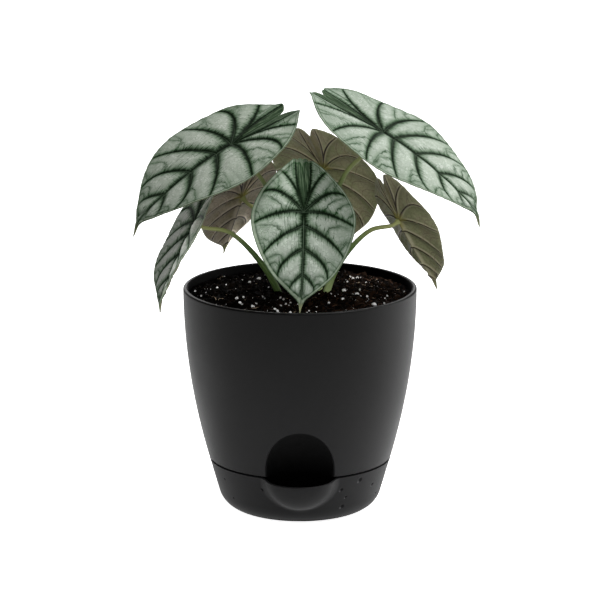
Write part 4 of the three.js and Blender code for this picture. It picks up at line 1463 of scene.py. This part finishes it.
# %% [markdown]
# ## The stalks
#
# A stalk is a round section carried along a smooth path from the mix to the blade, thick at the foot
# and slim at the top, where it widens into the ribs of the blade. A curve with a round bevel would
# have this shape too, but the points of a table can carry where its streaks lie. It is olive green
# with fine streaks, darker at the foot and yellow-green at the top, which is partly painted light
# where the leaves shade it. Three are fresh, and pale low down, which is partly painted light in
# the shade of the leaves.

# %% Stalk finish and path
STALK = {
    "foot": 3, "top": 1.3, "taper": 1.6, "depth": 20, "stand": 3, "flare": 0.9, "flare_length": 5,
    "oval": 0.05, "crease": 0.12, "crease_width": 0.35,
}
STALK_STEPS = 90
STALK_SIDES = 24
FRESH_AND_LIT_STALKS = {"back": 1, "right_top": 1, "right_low": 0.8}


def stalk_finish():
    """Olive green with streaks, lighter at the top and, on fresh stalks, low down, partly as painted
    light. The points carry the way up from 0 to 1, how fresh the stalk is with its painted light, and
    a place that is drawn out along the stalk."""
    finish = Finish("green_stalk", Specular_IOR_Level=0.25)
    up, fresh_and_lit = finish.carried("up"), finish.carried("fresh_and_lit")
    streaks = finish.noise(finish.carried("streak", "Vector"), 1.0, 3)
    tone = finish.coats(
        finish.mix(finish.step(0.3, 0.7, streaks), "4a6435", "6c874b"),
        # Partly painted light: the top is lighter, though the leaves shade it.
        (finish.step(0.55, 0.95, up) * 0.85, "aaad72"),
        # Partly painted light: fresh stalks are pale low down, in the shade of the leaves.
        (fresh_and_lit, "e6fbb4"),
        (finish.near(0.12, 0.3, up) * 0.3 * (1 - fresh_and_lit), "2b4526"),
    )
    return finish.wear(Base_Color=tone, Roughness=0.4 + streaks * 0.15, Normal=finish.relief(streaks, 0.3))


def stalk_path(leaf):
    """The middle line of a stalk in even steps: from its foot deep in the mix through its two way
    points to the blade, which it meets square to the underside."""
    face, at = leaf_frame(leaf)[2], np.array(leaf["at"])
    neck = at - face * (BLADE + MIDRIB + SIDE_RIB * 0.5 + GAP + leaf["neck"])
    x, y = leaf["foot"]
    foot = [(x, y, mound_height(x, y) - STALK[key]) for key in ("depth", "stand")]
    knots = np.array([*foot, *leaf["way"], neck, at - face * 1.1])
    fine = curve_through(knots, np.linspace(0, 1, 600))
    length = np.concatenate([[0], np.cumsum(np.linalg.norm(np.diff(fine, axis=0), axis=1))])
    even = np.linspace(0, length[-1], STALK_STEPS)
    return stack(*(np.interp(even, length, axis) for axis in fine.T)), length[-1]


def tube(path, radius, angle):
    """A round section carried along a path. Its first side is turned along with the path, by taking
    out of it, step by step, what points along the path."""
    run = np.gradient(path, axis=0)
    run = run / np.linalg.norm(run, axis=1, keepdims=True)
    side, first = np.array([1.0, 0, 0]), []
    for direction in run:
        side = side - direction * (side @ direction)
        side = side / np.linalg.norm(side)
        first.append(side)
    first = np.array(first)[:, None]
    ring = first * np.cos(angle)[:, None] + np.cross(run[:, None], first) * np.sin(angle)[:, None]
    return path[:, None] + radius[..., None] * ring


# %% Stalks
stalk_material = stalk_finish()
angle = np.arange(STALK_SIDES) * 2 * np.pi / STALK_SIDES
up, angles = np.meshgrid(np.linspace(0, 1, STALK_STEPS), angle, indexing="ij")
for name, leaf in LEAVES.items():
    path, length = stalk_path(leaf)
    radius = STALK["top"] + (STALK["foot"] - STALK["top"]) * (1 - up) ** STALK["taper"]
    radius = radius + STALK["flare"] * smooth_step(1 - STALK["flare_length"] / length, 1, up)
    radius = radius * (1 + STALK["oval"] * np.cos(2 * angles + 1))
    radius = radius - STALK["crease"] * bump(angles - np.pi, STALK["crease_width"])
    radius[0], radius[-1] = 0, 0
    streak = stack(0.08 * length * up, 2.2 * np.cos(angles), 2.2 * np.sin(angles))
    fresh_and_lit = FRESH_AND_LIT_STALKS.get(name, 0) * (1 - smooth_step(0.1, 0.45, up))
    values = {"up": up.ravel(), "fresh_and_lit": fresh_and_lit.ravel(), "streak": streak.reshape(-1, 3)}
    points = tube(path, radius, angle)
    stalk = turned_piece("petiole_" + name, points, values=values, materials=[stalk_material])
    belongs(stalk, "stalk", "stalk_" + name)
